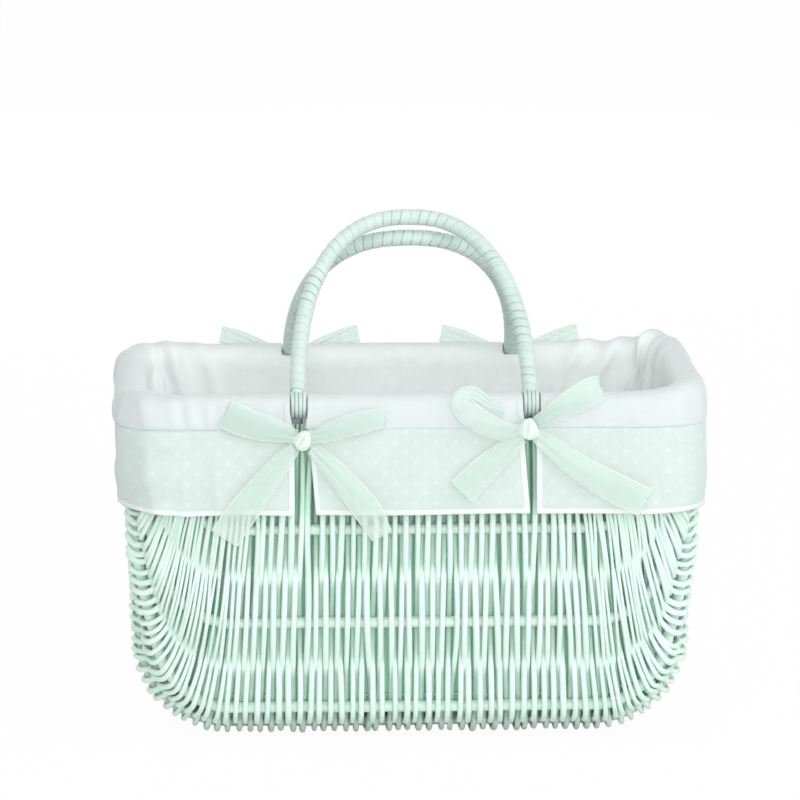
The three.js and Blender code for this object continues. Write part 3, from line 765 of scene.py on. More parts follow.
def make_hoop():
    run = np.linspace(0, RIM_GIRTH, 361)
    path = np.column_stack([rim_at(run)[0], np.full(len(run), RIM_HEIGHT)])
    return one_tube("willow_rim_hoop", path, RIM_RADIUS, [0.0, 0.0, 1.0], 0.5, 900)


# ---- the cloth

WALL_GRID = body_point(np.linspace(0, 1, 121)[:, None], np.linspace(EDGE_SHARE, 1, 80)[None, :])
STRIP_ALONG = np.linspace(BASE_HALF_LENGTH * 0.6, PROFILE_LENGTH, 160)
STRIP_GRID = strip_point(STRIP_ALONG[None, :], np.linspace(0, 1, 31)[:, None])


def level_reach(height, angles):
    """The distance from the middle axis to the wicker's middle surface, at one height."""
    lines = [line for line in (*WALL_GRID, *STRIP_GRID) if line[0, 2] <= height <= line[-1, 2]]
    ring = np.array([at_run(height, line[:, 2], line[:, :2]) for line in lines])
    angle = np.arctan2(ring[:, 1], ring[:, 0])
    order = np.argsort(angle)
    quarter = np.arctan2(np.abs(np.sin(angles)), np.abs(np.cos(angles)))
    return np.interp(quarter, angle[order], np.hypot(ring[:, 0], ring[:, 1])[order])


def sheet_normal(grid):
    """The direction across a closed sheet, up from row to row by ahead from column to column."""
    ahead = np.roll(grid, -1, axis=1) - np.roll(grid, 1, axis=1)
    return unit(np.cross(np.gradient(grid, axis=0), ahead))


def wall_surface(columns, heights):
    """The liner's wall without its folds, a row of points for each height."""
    place, outward = rim_at(columns)
    angles = np.arctan2(place[:, 1], place[:, 0])
    rows = []
    for height in heights:
        reach = level_reach(height, angles)
        ring = [reach * np.cos(angles), reach * np.sin(angles), np.full(len(angles), height)]
        rows.append(np.column_stack(ring))
    grid = np.array(rows)
    normal = sheet_normal(grid)
    inward = np.sign((normal[..., :2] * -outward[None]).sum(-1))[..., None]
    return grid + normal * inward * LINER_INSET


# The fold over the rim: how far out of the rim line, and how high, from inside to the seam outside.
FOLD_OVER = np.array(
    [
        (-11.6, 252.5), (-12.0, 258.5), (-11.0, 264.5), (-7.6, 269.3), (-1.5, 271.9), (4.2, 271.5),
        (8.8, 268.8), (11.2, 264.0), (12.0, 258.5), (12.1, 253.0), (12.0, 249.5), (11.8, SEAM_HEIGHT),
    ]
)
class Folds:
    """Soft folds across a band of cloth, each (place round the rim, width, height, lean, top, foot).

    top and foot say where it starts and ends, from 0 at the top of the band to 1 at its foot.
    """

    def __init__(self, seed, centres, count, spread, widths, heights, lean, more=()):
        draw = np.random.default_rng(seed)
        self.folds = []
        for centre in np.repeat(centres, count):
            place = centre + draw.normal(0, spread)
            shape = draw.uniform(*widths), draw.uniform(*heights), draw.normal(0, lean)
            self.folds.append((place, *shape, draw.uniform(0.0, 0.6), draw.uniform(0.6, 1.2)))
        self.folds += more

    def height(self, run, down):
        total = np.zeros(np.broadcast(run, down).shape)
        for centre, width, tall, lean, top, foot in self.folds:
            x = around(run - lean * down, centre) / width
            ridge = bell(x, 1, 1.6) * np.where(x > 0, 1.0, bell(x, 1, 1))
            stretch = smooth_step((down - top + 0.35) / 0.35) * smooth_step((foot - down + 0.3) / 0.3)
            total += tall * ridge * stretch
        return total


def cloth_marks(across, down, hem=0.0, outer=0.0):
    """The cloth's attributes for each point, from arrays that share one shape when broadcast."""
    across, down, hem, outer = (x.ravel() for x in np.broadcast_arrays(across, down, hem, outer))
    return {"cloth": np.column_stack([across, down, outer]), "hem": hem}


def thicken(piece, thickness=0.0, levels=0):
    """Rounds a sheet, and gives it its thickness outwards and inwards alike."""
    if levels:
        rounded = piece.modifiers.new("rounded", "SUBSURF")
        rounded.levels = rounded.render_levels = levels
    if thickness:
        solid = piece.modifiers.new("thickness", "SOLIDIFY")
        solid.thickness = thickness * MM
        solid.offset = 0.0
    return piece


def panel_columns(index, step):
    """Columns round the rim of one panel: front 0, right 1, rear 2, left 3."""
    start = SLIT_RUNS[index - 1] + SLIT_HALF_WIDTH
    end = SLIT_RUNS[index] - SLIT_HALF_WIDTH
    if end < start:
        start -= RIM_GIRTH
    return np.linspace(start, end, int(round((end - start) / step)) + 1)


def beside_slit(gap):
    """How far outside a slit's edge a place is, from its distance to the slit's middle."""
    return np.abs(gap) - SLIT_HALF_WIDTH


def pinch(run, amount, width=26.0):
    """How far the cloth beside a slit is drawn along the rim towards the ribbon that closes it."""
    gaps = (around(run, slit) for slit in SLIT_RUNS)
    return sum(-np.sign(gap) * amount * bell(np.maximum(beside_slit(gap), 0), width, 1.3) for gap in gaps)


def end_weight(x, side=1):
    """1 at the basket's right end, or with side -1 its left one, and 0 from the corners inwards."""
    return smooth_step((side * x - END_START) / END_FADE)


def liner_columns():
    """Columns all round the rim, and which of them lie in a slit."""
    columns, in_slit = [], []
    for index, slit in enumerate(SLIT_RUNS):
        panel = panel_columns(index, LINER_STEP)
        across = np.linspace(slit - SLIT_HALF_WIDTH, slit + SLIT_HALF_WIDTH, 7)[1:-1]
        columns += [panel, across]
        in_slit += [np.zeros(len(panel), bool), np.ones(len(across), bool)]
    return np.concatenate(columns), np.concatenate(in_slit)


def rolled_rim(columns):
    """The fold over the rim, a row of points for each step from inside to the seam outside."""
    puff = noise_line(31, 7, 0.02, 0.11)
    rows = []
    for out, height in curve_through(FOLD_OVER, 2):
        outside = smooth_step((out + 4) / 12)
        drop = smooth_step((262 - height) / 18) * outside
        place, outward = rim_at(columns + pinch(columns, ROLL_PINCH) * drop)
        right_end = end_weight(place[:, 0])
        fuller = ROLL_PUFF * puff(columns) * outside + ROLL_CORNER_PUFF * corner_weight(columns) * outside
        reach = out + fuller - RIGHT_DRAW * right_end * outside
        at_rear = smooth_step(place[:, 1] / 60)
        raised = 0.5 * puff(columns + 40) + REAR_RISE * at_rear + RIGHT_RISE * right_end
        height = height + raised * smooth_step((height - 252) / 15)
        rows.append(np.column_stack([place + outward * reach[:, None], height]))
    return np.array(rows)


def without_hidden(faces, hidden):
    """The faces that touch no hidden point, renumbered for the points that they use, and which those are."""
    faces = np.array(faces)
    faces = faces[~hidden[faces].any(axis=1)]
    used = np.zeros(len(hidden), bool)
    used[faces] = True
    return (np.cumsum(used) - 1)[faces].tolist(), used


def make_liner():
    """One white sheet: the lining's walls, folded over the rim hoop and down outside it to the seam."""
    columns, in_slit = liner_columns()
    low = np.linspace(WALL_FOOT_HEIGHT, WALL_BEND_HEIGHT, 9)[:-1]
    walls = wall_surface(columns, [*low, *np.linspace(WALL_BEND_HEIGHT, WALL_TOP_HEIGHT, 22)])
    grid = np.concatenate([walls, rolled_rim(columns)])
    rows, wall_rows = len(grid), len(walls)
    run = columns[None, :]
    row = np.arange(rows)[:, None]
    past_wall = row - wall_rows

    back = RIM_GIRTH / 2
    pleats = [
        (back - 152, 6.5, 7.5, 95.0, 0.0, 0.8), (back - 178, 7.0, 9.5, 90.0, 0.0, 0.9),
        (back - 203, 8.5, 10.0, 55.0, 0.0, 0.9), (back + 163, 7.0, 4.0, -60.0, 0.0, 0.7),
        (back + 186, 8.0, 5.5, -50.0, 0.0, 0.8), (back + 204, 9.0, 5.0, -20.0, 0.0, 0.8),
    ]
    gathers = [(RIM_GIRTH - x, 3.8, 3.0, 5.0, 0.0, 1.2) for x in (146, 157, 171, 184, 200)]
    ninths = [k * RIM_GIRTH / 9 for k in range(9)]
    corners = Folds(41, CORNER_RUNS, 9, 34.0, (4.0, 11.0), (1.2, 4.6), 14.0, pleats)
    plain = Folds(42, ninths, 2, 40.0, (16.0, 40.0), (0.4, 1.6), 30.0)
    bunch = Folds(43, CORNER_RUNS, 7, 26.0, (3.0, 8.0), (0.5, 1.5), 6.0, gathers)
    near_slit = Folds(44, SLIT_RUNS, 5, 12.0, (2.5, 6.0), (0.4, 1.3), 5.0)
    down_inside = np.clip((10 - past_wall) / (wall_rows + 10.0), 0, 1)
    down_outside = np.clip((past_wall - TURN_ROW) / (rows - wall_rows - TURN_ROW), 0, 1)
    within = corners.height(run, down_inside) * (1.2 - 0.5 * down_inside) + plain.height(run, down_inside)
    without = bunch.height(run, down_outside) + near_slit.height(run, down_outside)
    inside = 1 - smooth_step((past_wall - TURN_ROW) / 6.0)
    folds = inside * within + (1 - inside) * without
    crest = 1 - 0.62 * bell(past_wall - 9, 4.2)
    seam = bell(row - rows + 1, 2.0)
    sag = 2.2 * bell(row / (rows - 1) * rows - 0.5 * wall_rows, 6.0) * (1 - corner_weight(run, 80.0))
    normal = sheet_normal(grid)
    grid = grid + normal * (folds * crest * (1 - 0.75 * seam) + sag)[..., None]

    hidden = (in_slit[None, :] & (past_wall > NOTCH_ROW)).ravel()
    faces, used = without_hidden(grid_faces(rows, len(columns), wrap=True), hidden)
    length = run_along(grid[:, 0])[-1]
    from_slit = np.min([beside_slit(around(columns, slit)) for slit in SLIT_RUNS], axis=0)
    hem = smooth_step((5.0 - from_slit) / 1.5)[None, :] * (past_wall > HEM_ROW)
    marks = cloth_marks(run, np.linspace(0, length, rows)[:, None], hem, smooth_step((past_wall - 3) / 6.0))
    marks = {label: values[used] for label, values in marks.items()}
    made = new_object("cotton_liner", grid.reshape(-1, 3)[used], faces, WHITE_CLOTH, marks)
    return thicken(made, LINER_THICKNESS, 1)


def make_liner_floor():
    columns = np.linspace(0, RIM_GIRTH, 181)[:-1]
    count = len(columns)
    rim = wall_surface(columns, np.array([33.0, 36.0]))[0]
    sag = noise_line(71, 6, 0.01, 0.05)
    rows = []
    for share in (*np.linspace(0.06, 0.8, 12), *np.linspace(0.84, 1.0, 8)):
        flat = rim[:, :2] * share
        ripple = 0.8 * sag(flat[:, 0] * 1.3 + 60) * sag(flat[:, 1] * 2 + 20) * (1 - share**4)
        height = FLOOR_HEIGHT + (rim[:, 2] - FLOOR_HEIGHT) * share**9 + ripple
        rows.append(np.column_stack([flat, height]))
    points = np.vstack([*rows, [[0, 0, FLOOR_HEIGHT]]])
    faces = grid_faces(len(rows), count, wrap=True)
    faces += [[count * len(rows), (j + 1) % count, j] for j in range(count)]
    marks = cloth_marks(points[:, 0], points[:, 1])
    return thicken(new_object("cotton_liner_floor", points, faces, WHITE_CLOTH, marks), LINER_THICKNESS)


PANELS = ("front", "right", "rear", "left")
# How far the cloth's edge is from each slit's middle, at the seam and the hem: panel before, panel after.
SLIT_EDGES = (((6.0, 1.0), (3.4, 3.7)), ((4.5, 4.0),) * 2, ((4.5, 5.5),) * 2, ((3.6, 3.2), (6.0, 12.6)))


def make_skirt(index, name):
    """One panel of the skirt, sewn to the liner's edge and hung outside the wicker, and its width in m."""
    columns = panel_columns(index, SKIRT_STEP)
    start, end = columns[0], columns[-1]
    edges = ((start, SLIT_EDGES[index - 1][1], -1), (end, SLIT_EDGES[index][0], 1))
    is_end = index % 2
    wave = SKIRT_WAVE * noise_line(90 + index, 5, 0.012, 0.045)(columns)
    wave = wave - 1.5 * corner_weight(columns, 50.0) * is_end
    corners = Folds(50 + index, CORNER_RUNS, 7, 24.0, (4.0, 10.0), (0.8, 3.0), 10.0)
    soft = Folds(60 + index, columns[:: max(1, len(columns) // 7)], 1, 12.0, (12.0, 30.0), (0.3, 1.5), 16.0)
    near_left = bell(around(columns, CORNER_RUNS[3]), 26.0)
    down = np.linspace(0, 1, SKIRT_ROWS)
    grid = []
    for part in down:
        shift = np.zeros_like(columns)
        for edge, (top, foot), sign in edges:
            width = top + (foot - top) * part ** (0.8 if foot > top else 1.2)
            shift += sign * (SLIT_HALF_WIDTH - width) * bell(columns - edge, 30.0, 1.4)
        place, outward = rim_at(columns + shift)
        left_end, right_end = end_weight(place[:, 0], -1), end_weight(place[:, 0])
        out = SKIRT_OUT + SKIRT_FLARE * part - 0.95 * bell(part, 0.025)
        out = out + 2.4 * near_left * math.sin(2 * math.pi * (1.9 * part + 0.1)) * part**0.4
        fold = corners.height(columns, part) * smooth_step(part * 6) + soft.height(columns, part)
        drawn_in = (left_end * 5.0 + right_end * 2.5) * part**1.5 + 2.2 * right_end
        out = out + fold * (0.35 + 0.65 * part) - drawn_in
        raised = (wave + 4.5 * left_end + 2.0 * right_end) * part**2
        height = SEAM_TOP - (SEAM_TOP - HEM_HEIGHT) * part + raised
        grid.append(np.column_stack([place + outward * out[:, None], height]))
    drop = (SEAM_HEIGHT - HEM_HEIGHT) * down[:, None]
    from_edge = np.minimum(columns - start, end - columns)[None, :]
    hem = np.clip((HEM_WIDTH - np.minimum(from_edge, SEAM_HEIGHT - HEM_HEIGHT - drop)) / 1.2, 0, 1)
    marks = cloth_marks(columns[None, :], drop, hem)
    faces = grid_faces(len(down), len(columns))
    made = new_object(f"voile_skirt_{name}", np.vstack(grid), faces, MINT_CLOTH, marks)
    return thicken(made, SKIRT_THICKNESS, 1), (end - start) * MM


# ---- ribbons


def ribbon(name, stations, seed):
    """A strip of ribbon through stations, gathered where it is narrow, and its width, length and area."""
    stations = np.asarray(stations, float)
    line = curve_through(stations, 8)
    centre, width, tilt, cup = line[:, :3], line[:, 3], np.radians(line[:, 4]), line[:, 5]
    across = np.linspace(-1, 1, 13)[None]
    ahead = unit(np.gradient(centre, axis=0))
    side = np.column_stack([np.sin(tilt), np.zeros_like(tilt), np.cos(tilt)])
    side = unit(side - ahead * (side * ahead).sum(-1, keepdims=True))
    out = unit(np.cross(ahead, side))
    out *= np.where(out[:, 1:2] * np.sign(centre[:, 1:2]) < 0, -1.0, 1.0)
    full = max(stations[:, 3])
    gather = np.clip(1 - width / full, 0, 1)
    run = run_along(centre)
    ripple = noise_line(seed + 300, 5, 0.03, 0.12)
    lift = cup[:, None] * (1 - across**2)
    lift = lift + (gather * np.minimum(width / 8, 1))[:, None] * 1.5 * np.cos(across * math.pi * 2.5 + seed)
    lift = lift + 0.5 * ripple(run)[:, None] * across
    points = centre[:, None] + side[:, None] * (across[..., None] * width[:, None, None] / 2)
    points = points + out[:, None] * lift[..., None]
    marks = cloth_marks(across * full / 2, run[:, None], np.clip((np.abs(across) - 0.9) * 12, 0, 1))
    faces = grid_faces(len(line), across.size)
    made = new_object(name, points.reshape(-1, 3), faces, RIBBON_CLOTH, marks)
    area = float((width[:-1] * np.diff(run)).sum())
    return thicken(made, RIBBON_THICKNESS, 1), (full * MM, run[-1] * MM, area * MM * MM)


def knot(name, centre, size, lean, side):
    """The ribbon's knot: a small puffed wrap with creases that run over it."""
    u = np.linspace(0, 2 * math.pi, KNOT_TURNS, endpoint=False)
    u, v = np.meshgrid(u, np.linspace(0.04, 0.96, KNOT_RINGS) * math.pi)
    hollow = np.zeros_like(u)
    for k in range(CREASES):
        off = (u - 0.65 * k - 0.3 * np.sin(2 * v + k) + math.pi) % (2 * math.pi) - math.pi
        hollow += (0.6 + 0.4 * math.sin(2.3 * k)) * bell(off, CREASE_WIDTH)
    bulge = 1 + 0.12 * np.cos(2 * u + 3 * v) + 0.08 * np.cos(3 * u - 2 * v) - 0.12 * np.cos(v) ** 2
    bulge = bulge - CREASE_DEPTH * hollow
    x = np.sin(v) * np.cos(u) * bulge
    y = np.sin(v) * np.sin(u) * bulge
    z = np.sign(np.cos(v)) * np.abs(np.cos(v)) ** 0.75 * (1 + 0.06 * np.cos(3 * u))
    x, y, z = (way.ravel() * reach / 2 for way, reach in zip((x, y, z), size))
    c, s = math.cos(math.radians(lean)), math.sin(math.radians(lean))
    points = np.column_stack([x * c + z * s, y * side, z * c - x * s]) + centre
    # Painted shade: the cloth between the creases takes more of the paler hem colour than the creases do, so
    # the creases look shaded.
    marks = cloth_marks(x * 2, z * 2, 0.46 * (1 - hollow.ravel().clip(0, 1)), 1.0)
    made = new_object(name, points, tube_faces(KNOT_RINGS, KNOT_TURNS), RIBBON_CLOTH, marks)
    return thicken(made, levels=1)


# Each bow has a knot (place, size, lean) and the stations of its four strips. A station is
# (x, out, z, width, tilt, cup): out is the distance out from the bow's face, tilt turns the strip's width
# from upright in degrees, and cup is how far its middle stands out. The rear strips lie right of their knot.
FRONT_LEFT_BOW = {
    "knot": ((-84.0, 1.0, 240.0), (13.0, 9.5, 15.5), 20.0),
    "left_loop": [
        (-89, 1, 243, 9, 20, 0.5), (-101, 2, 247, 16, 24, 1.5), (-117, 2, 251, 21, 26, 2.0),
        (-134, 1, 257, 23, 24, 1.0), (-141.5, -0.5, 260.5, 20.7, 20, 0.0), (-134, -2.2, 256, 21, 20, 0.0),
        (-114, -2.4, 248, 16, 15, 0.0), (-92, -2, 241, 9, 10, 0.0),
    ],
    "right_loop": [
        (-79, 1, 242, 8, -20, 0.5), (-66, 3, 246, 14, -14, 1.5), (-48, 4, 252, 17, -8, 2.0),
        (-30, 2, 256, 16, -6, 1.0), (-23.5, 0, 257, 12, -6, 0.0), (-32, -2, 254, 14, -6, 0.0),
        (-56, -2.2, 248, 13, -10, 0.0), (-77, -2, 241, 8, -10, 0.0),
    ],
    "left_tail": [
        (-90, 0.5, 235, 9, -52, 0.5), (-100, 2, 224, 15, -50, 1.2), (-115, 2.5, 205, 20, -51, 1.5),
        (-131, 2.5, 184, 23, -53, 1.0), (-143, 1.5, 166, 23.46, -60, 0.5),
    ],
    "right_tail": [
        (-78, 0.5, 234, 9, 52, 0.5), (-65, 2.5, 222, 15, 50, 1.2), (-50, 3, 205, 19, 47, 1.5),
        (-36, 2.5, 187, 21, 38, 1.5), (-25, 1.5, 167, 16, 14, 0.5),
    ],
}
FRONT_RIGHT_BOW = {
    "knot": ((84.5, 1.5, 247.5), (15.0, 10.0, 16.0), -10.0),
    "left_loop": [
        (80, 1, 247, 8, 0, 0.5), (67, 3, 246, 14, 0, 1.5), (52, 4.5, 252, 18, 25, 2.0),
        (39, 5.5, 261, 18, 45, 1.5), (34, 4.5, 270, 15, 90, 0.5), (41, 3, 276, 10, 150, 0.0),
        (52, 2, 270, 7, 215, 0.0), (65, 1, 258, 3.5, 222, 0.0),
    ],
    "right_loop": [
        (90, 1, 252, 9, -30, 0.5), (104, 2.5, 261, 15, -28, 1.5), (120, 2.5, 270, 20, -24, 2.0),
        (134, 1, 277, 21.16, -14, 1.0), (137, -0.5, 279, 17, -8, 0.0), (124, -2, 272, 16, -20, 0.0),
        (106, -2, 262, 12, -26, 0.0), (89, -1.6, 252, 8, -28, 0.0),
    ],
    "left_tail": [
        (79, 1, 242, 10, -48, 0.5), (66, 3, 231, 16, -46, 1.5), (49, 3.5, 216, 21, -45, 1.5),
        (34, 2.5, 200, 23, -45, 1.0),
    ],
    "right_tail": [
        (90, 1, 243, 10, 50, 0.5), (104, 3, 232, 16, 56, 1.5), (126, 3.5, 216, 20, 57, 1.5),
        (150, 2.5, 202, 23, 60, 1.2), (172, 1.5, 191, 23, 66, 0.5),
    ],
}
REAR_KNOT = (1.0, 254.5), (13.0, 9.0, 14.0), 8.0
REAR_STRIPS = {
    "loop": [
        (5, 1, 259, 8, -30, 0.5), (18, 2, 267, 10, -28, 1.0), (34, 2, 273.5, 12, -22, 1.5),
        (48, 1, 277.5, 14, -14, 1.0), (54, -0.5, 279, 13, -10, 0.0), (43, -2, 275.5, 11, -18, 0.0),
        (22, -2, 267, 9, -26, 0.0), (6, -1.6, 259, 6, -30, 0.0),
    ],
    "tail": [
        (5, 1, 248, 9, 48, 0.5), (15, 2.5, 236, 15, 46, 1.2), (29, 3, 220, 20, 42, 1.5),
        (42, 2.5, 203, 23, 40, 1.2), (54, 1.5, 186, 23, 38, 0.5),
    ],
}
STRIPS = ("left_loop", "right_loop", "left_tail", "right_tail")


def rear_bow(sign):
    x = sign * SLIT_PLACE
    bow = {"knot": ((x, *REAR_KNOT[0]), REAR_KNOT[1], REAR_KNOT[2] * sign)}
    for strip in STRIPS:
        way = -1 if strip.startswith("left") else 1
        stations = REAR_STRIPS[strip.split("_")[1]]
        bow[strip] = [(x + way * dx, out, z, w, tilt * way, cup) for dx, out, z, w, tilt, cup in stations]
    return bow


def standing_out(points, side):
    """Points whose y is a distance out from the bows' face, moved to the front (-1) or the rear (1)."""
    placed = np.array(points, float)
    placed[..., 1] = side * (BOW_FACE + placed[..., 1])
    return placed


# ---- handles


def arch_frame(side, lean):
    """The handle's hinge point, the direction its arch stands in, and the one that it faces."""
    hinge = np.array([0.0, side * RIM_HALF_WIDTH, RIM_HEIGHT])
    tilt = math.pi / 2 + side * math.radians(lean)
    up = np.array([0.0, math.cos(tilt), math.sin(tilt)])
    return hinge, up, unit(np.cross([1.0, 0.0, 0.0], up))


def arch_path(side, lean, count):
    hinge, up, _ = arch_frame(side, lean)
    start = math.asin((LEG_START / HANDLE_REACH) ** (ARCH_POWER / 2))
    angle = np.linspace(start, math.pi - start, 400)
    power = 2 / ARCH_POWER
    x = HANDLE_HALF_SPAN * np.sign(np.cos(angle)) * np.abs(np.cos(angle)) ** power
    line = hinge + np.outer(x, [1.0, 0, 0]) + np.outer(HANDLE_REACH * np.sin(angle) ** power, up)
    run = run_along(line)
    even = np.linspace(0, run[-1], count)
    return at_run(even, run, line), even


# The cane strip's section: shares of its half width and of its thickness.
CANE_ACROSS = np.array([-1.0, -0.93, -0.6, 0.0, 0.6, 0.93, 1.0, 1.0, -1.0])
CANE_RISE = np.array([0.84, 0.97, 1.0, 1.0, 1.0, 0.97, 0.84, 0.0, 0.0])


def wound_cane(name, side, lean, seed, cracks):
    """A flat cane strip wound closely round the handle. cracks is the share of turns that stand open."""
    path, run = arch_path(side, lean, 600)
    face = arch_frame(side, lean)[2]
    draw = np.random.default_rng(seed)
    turns = int((run[-1] - CANE_WIDTH - 2) / (CANE_WIDTH + CANE_GAP))
    pitch = (run[-1] - CANE_WIDTH - 1) / turns
    turn = np.arange(turns * CANE_STEPS + 1) / CANE_STEPS
    open_turns = (draw.random(turns + 1) < cracks) * draw.uniform(*CRACK_WIDTHS, turns + 1)
    half = (CANE_WIDTH / 2 + 0.06 - np.interp(turn, np.arange(turns + 1), open_turns))[:, None] * CANE_ACROSS
    along = np.clip((CANE_WIDTH / 2 + 0.5 + pitch * turn)[:, None] + half, 0, run[-1])
    lift = 0.12 * noise_line(seed + 9, 6, 0.05, 0.4)(turn * 6)
    radius = CORE_RADIUS + 0.1 + CANE_THICKNESS * CANE_RISE + lift[:, None] * (CANE_RISE > 0.1)
    centre = at_run(along, run, path)
    ahead = unit(at_run(along, run, unit(np.gradient(path, axis=0))))
    angle = 2 * math.pi * turn[:, None, None]
    spoke = np.cos(angle) * unit(np.cross(ahead, face)) + np.sin(angle) * face
    points = centre + radius[..., None] * spoke
    sides = len(CANE_ACROSS)
    turn_length = 2 * math.pi * (CORE_RADIUS + CANE_THICKNESS)
    stem = (np.repeat(turn * turn_length, sides), half.ravel() * 0.8, np.full(half.size, float(seed)))
    tone = np.repeat(np.interp(turn, np.arange(turns + 1), draw.uniform(0, 1, turns + 1)), sides)
    marks = {"stem": np.stack(stem, -1), "tone": tone}
    return new_object(name, points.reshape(-1, 3), tube_faces(len(turn), sides), CANE, marks)


def handle_core(name, side, lean, seed):
    path, _ = arch_path(side, lean, 120)
    return one_tube(name, path, CORE_RADIUS, arch_frame(side, lean)[2], 0.1, seed, sides=16)


def cane_loop(name, side, lean, across, seed):
    """Four strands of cane round the rim hoop, side by side, coming out of the leg's wrapping."""
    hinge, up, face = arch_frame(side, lean)
    tubes = Tubes(10)
    angle = np.linspace(0, 2 * math.pi, 49)
    for shift in STRAND_SHIFTS:
        reach = STRAND_REACH + 0.25 * np.cos(3 * angle + shift)
        middle = hinge + np.array([across * HANDLE_HALF_SPAN + shift, 0, 0])
        spoke = np.outer(np.cos(angle) * reach, up) + np.outer(np.sin(angle) * reach, face)
        tubes.add(middle + spoke, STRAND_RADIUS, unit(spoke), 0.5 + 0.1 * shift, seed + shift)
    return tubes.make(name, CANE)


# ---- assembly

BASKET = "basket"


def place(piece, body, slot, *nodes):
    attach(piece, body)
    if nodes:
        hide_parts(*nodes)
    return piece


WEAVES = ("front_weave", "rear_weave", "base_weave", "left_end_weave", "right_end_weave")
IN_WEAVE = ("rib_front_edge", "rib_rear_edge", "rib_base_middle")
place(make_rods(), BASKET, "mint_willow", *WEAVES)
for rib_name, rib in make_ribs().items():
    place(rib, BASKET, "mint_willow", *(() if rib_name in IN_WEAVE else (rib_name,)))
place(make_hoop(), BASKET, "mint_willow", "rim_hoop")

liner_nodes = [f"{kind}_{name}" for kind in ("liner", "cuff") for name in PANELS]
liner_nodes += [f"liner_{wall}_{side}_gusset" for wall in ("front", "rear") for side in ("left", "right")]
liner = place(make_liner(), BASKET, "white_cotton", *liner_nodes)
liner_floor = place(make_liner_floor(), BASKET, "white_cotton", "liner_floor")
for panel_index, panel_name in enumerate(PANELS):
    skirt, skirt_width = make_skirt(panel_index, panel_name)
    place(skirt, BASKET, "mint_cotton", f"skirt_{panel_name}")

bows = {"front_left": FRONT_LEFT_BOW, "front_right": FRONT_RIGHT_BOW}
bows |= {"rear_left": rear_bow(-1), "rear_right": rear_bow(1)}
for bow_name, bow in bows.items():
    bow_side = -1 if bow_name.startswith("front") else 1
    middle, size, lean = bow["knot"]
    tied = knot(f"ribbon_{bow_name}_knot", standing_out(middle, bow_side), size, lean, bow_side)
    place(tied, BASKET, "mint_ribbon", f"{bow_name}_bow_knot")
    for strip_index, part in enumerate(STRIPS):
        stations = standing_out(bow[part], bow_side)
        seed = 11 * strip_index + len(bow_name)
        strip, (wide, long, area) = ribbon(f"ribbon_{bow_name}_{part}", stations, seed)
        place(strip, BASKET, "mint_ribbon", f"{bow_name}_bow_{part}")

for handle_name, (side, lean, cracks) in HANDLES.items():
    body, piece = f"{handle_name}_handle", f"handle_{handle_name}"
    seed = 300 + side
    place(handle_core(f"{piece}_core", side, lean, seed), body, "mint_willow", f"{body}_core")
    place(wound_cane(f"{piece}_cane", side, lean, seed, cracks), body, "mint_cane", f"{body}_cane_wrap")
    for loop_name, across in (("left", -1), ("right", 1)):
        loop = cane_loop(f"{piece}_{loop_name}_loop", side, lean, across, seed + across)
        place(loop, body, "mint_cane", f"{body}_{loop_name}_loop")

# ---- stage, light and camera

WHITE = (1, 1, 1, 1)
FLOOR_HALF_SIZE = 20.0


def make_floor():
    """Pale paper that goes white to the camera but keeps a part of its shadow."""
    h = FLOOR_HALF_SIZE
    mesh = bpy.data.meshes.new("floor")
    mesh.from_pydata([(-h, -h, 0), (h, -h, 0), (h, h, 0), (-h, h, 0)], [], [(0, 1, 2, 3)])
    floor = bpy.data.objects.new("floor", mesh)
    bpy.context.scene.collection.objects.link(floor)
    n = Nodes(bpy.data.materials.new("floor_paper"))
    grain = n.noise(n.object_place(), (1.0, 1.0, 1.0), scale=60.0)
    paper = n.principled(
        Base_Color=(0.92, 0.93, 0.925, 1),
        Roughness=0.9,
        Specular_IOR_Level=0.0,
        Normal=n.bump(grain, 0.05, 0.0005),
    )
    glow = n.add("ShaderNodeEmission", {"Color": WHITE, "Strength": 1.0}).outputs[0]
    n.blend(n.math("MULTIPLY", n.seen_directly(), 0.96), paper, glow)
    mesh.materials.append(n.owner)


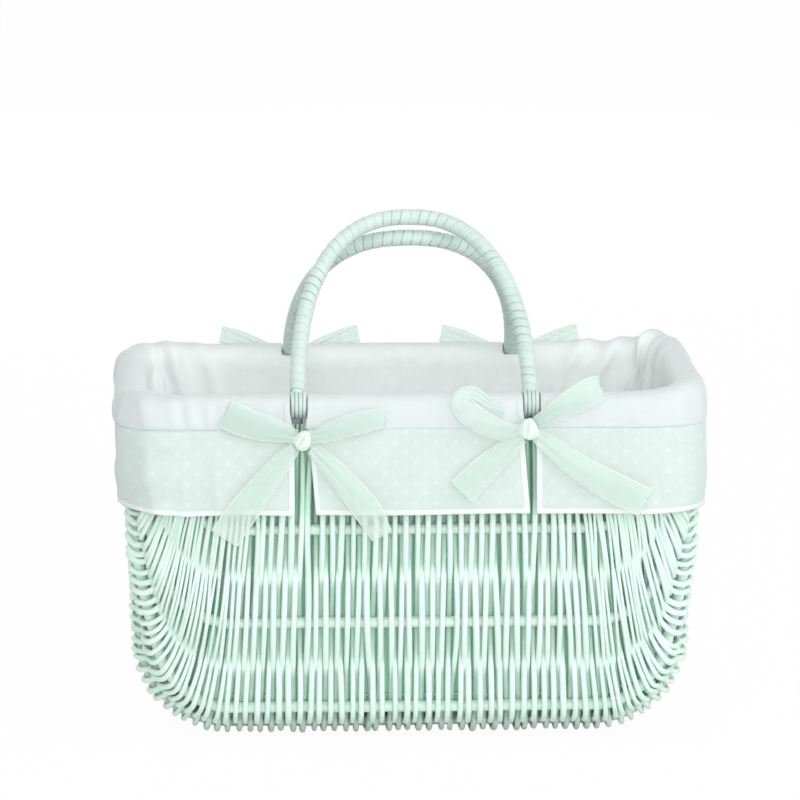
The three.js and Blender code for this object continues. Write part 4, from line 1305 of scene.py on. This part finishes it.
def make_world():
    """White to look at, and a softer light on things."""
    world = bpy.context.scene.world = bpy.data.worlds.new("studio")
    n = Nodes(world, "ShaderNodeOutputWorld")
    lit = n.add("ShaderNodeBackground", {"Color": (0.97, 1.0, 0.99, 1), "Strength": 0.7}).outputs[0]
    seen = n.add("ShaderNodeBackground", {"Color": WHITE, "Strength": 1.0}).outputs[0]
    n.blend(n.seen_directly(), lit, seen)


def aim(thing, place_at, direction):
    thing.location = place_at
    thing.rotation_euler = direction.to_track_quat("-Z", "Y").to_euler()
    bpy.context.scene.collection.objects.link(thing)


# Square lamps: place, height of the point that they face on the middle axis, size and power
LAMPS = {
    "key": ((3.1, -2.2, 1.8), 0.15, 2.2, 29),
    "front": ((0.2, -4.1, 0.95), 0.2, 1.4, 42),
    "rear": ((-0.6, 4.1, 0.95), 0.2, 1.4, 30),
    "top": ((0.4, -2.1, 2.7), 0.1, 2.4, 20),
}


def add_lamps():
    for name, (place_at, height, size, power) in LAMPS.items():
        data = bpy.data.lights.new(name, "AREA")
        data.shape = "SQUARE"
        data.size = size
        data.energy = power
        lamp = bpy.data.objects.new(name, data)
        lamp.visible_camera = False
        aim(lamp, place_at, Vector((0, 0, height)) - Vector(place_at))


CAMERA_AZIMUTH = -2.51
CAMERA_ELEVATION = 9.15
CAMERA_DISTANCE = 4.5
CAMERA_TARGET = (-0.0057, 0.0, 0.2478)
CAMERA_SENSOR = 36.0
PIXELS = 800
FOCAL_PIXELS = 1302.4 * CAMERA_DISTANCE


def make_camera():
    data = bpy.data.cameras.new("camera")
    data.sensor_width = CAMERA_SENSOR
    data.lens = FOCAL_PIXELS * CAMERA_SENSOR / PIXELS
    data.clip_end = 100
    azimuth, elevation = math.radians(CAMERA_AZIMUTH), math.radians(CAMERA_ELEVATION)
    level = math.cos(elevation)
    direction = Vector((math.sin(azimuth) * level, -math.cos(azimuth) * level, math.sin(elevation)))
    camera = bpy.context.scene.camera = bpy.data.objects.new("camera", data)
    aim(camera, Vector(CAMERA_TARGET) + direction * CAMERA_DISTANCE, -direction)


make_floor()
make_world()
add_lamps()
make_camera()
bpy.context.scene.view_settings.view_transform = "Standard"
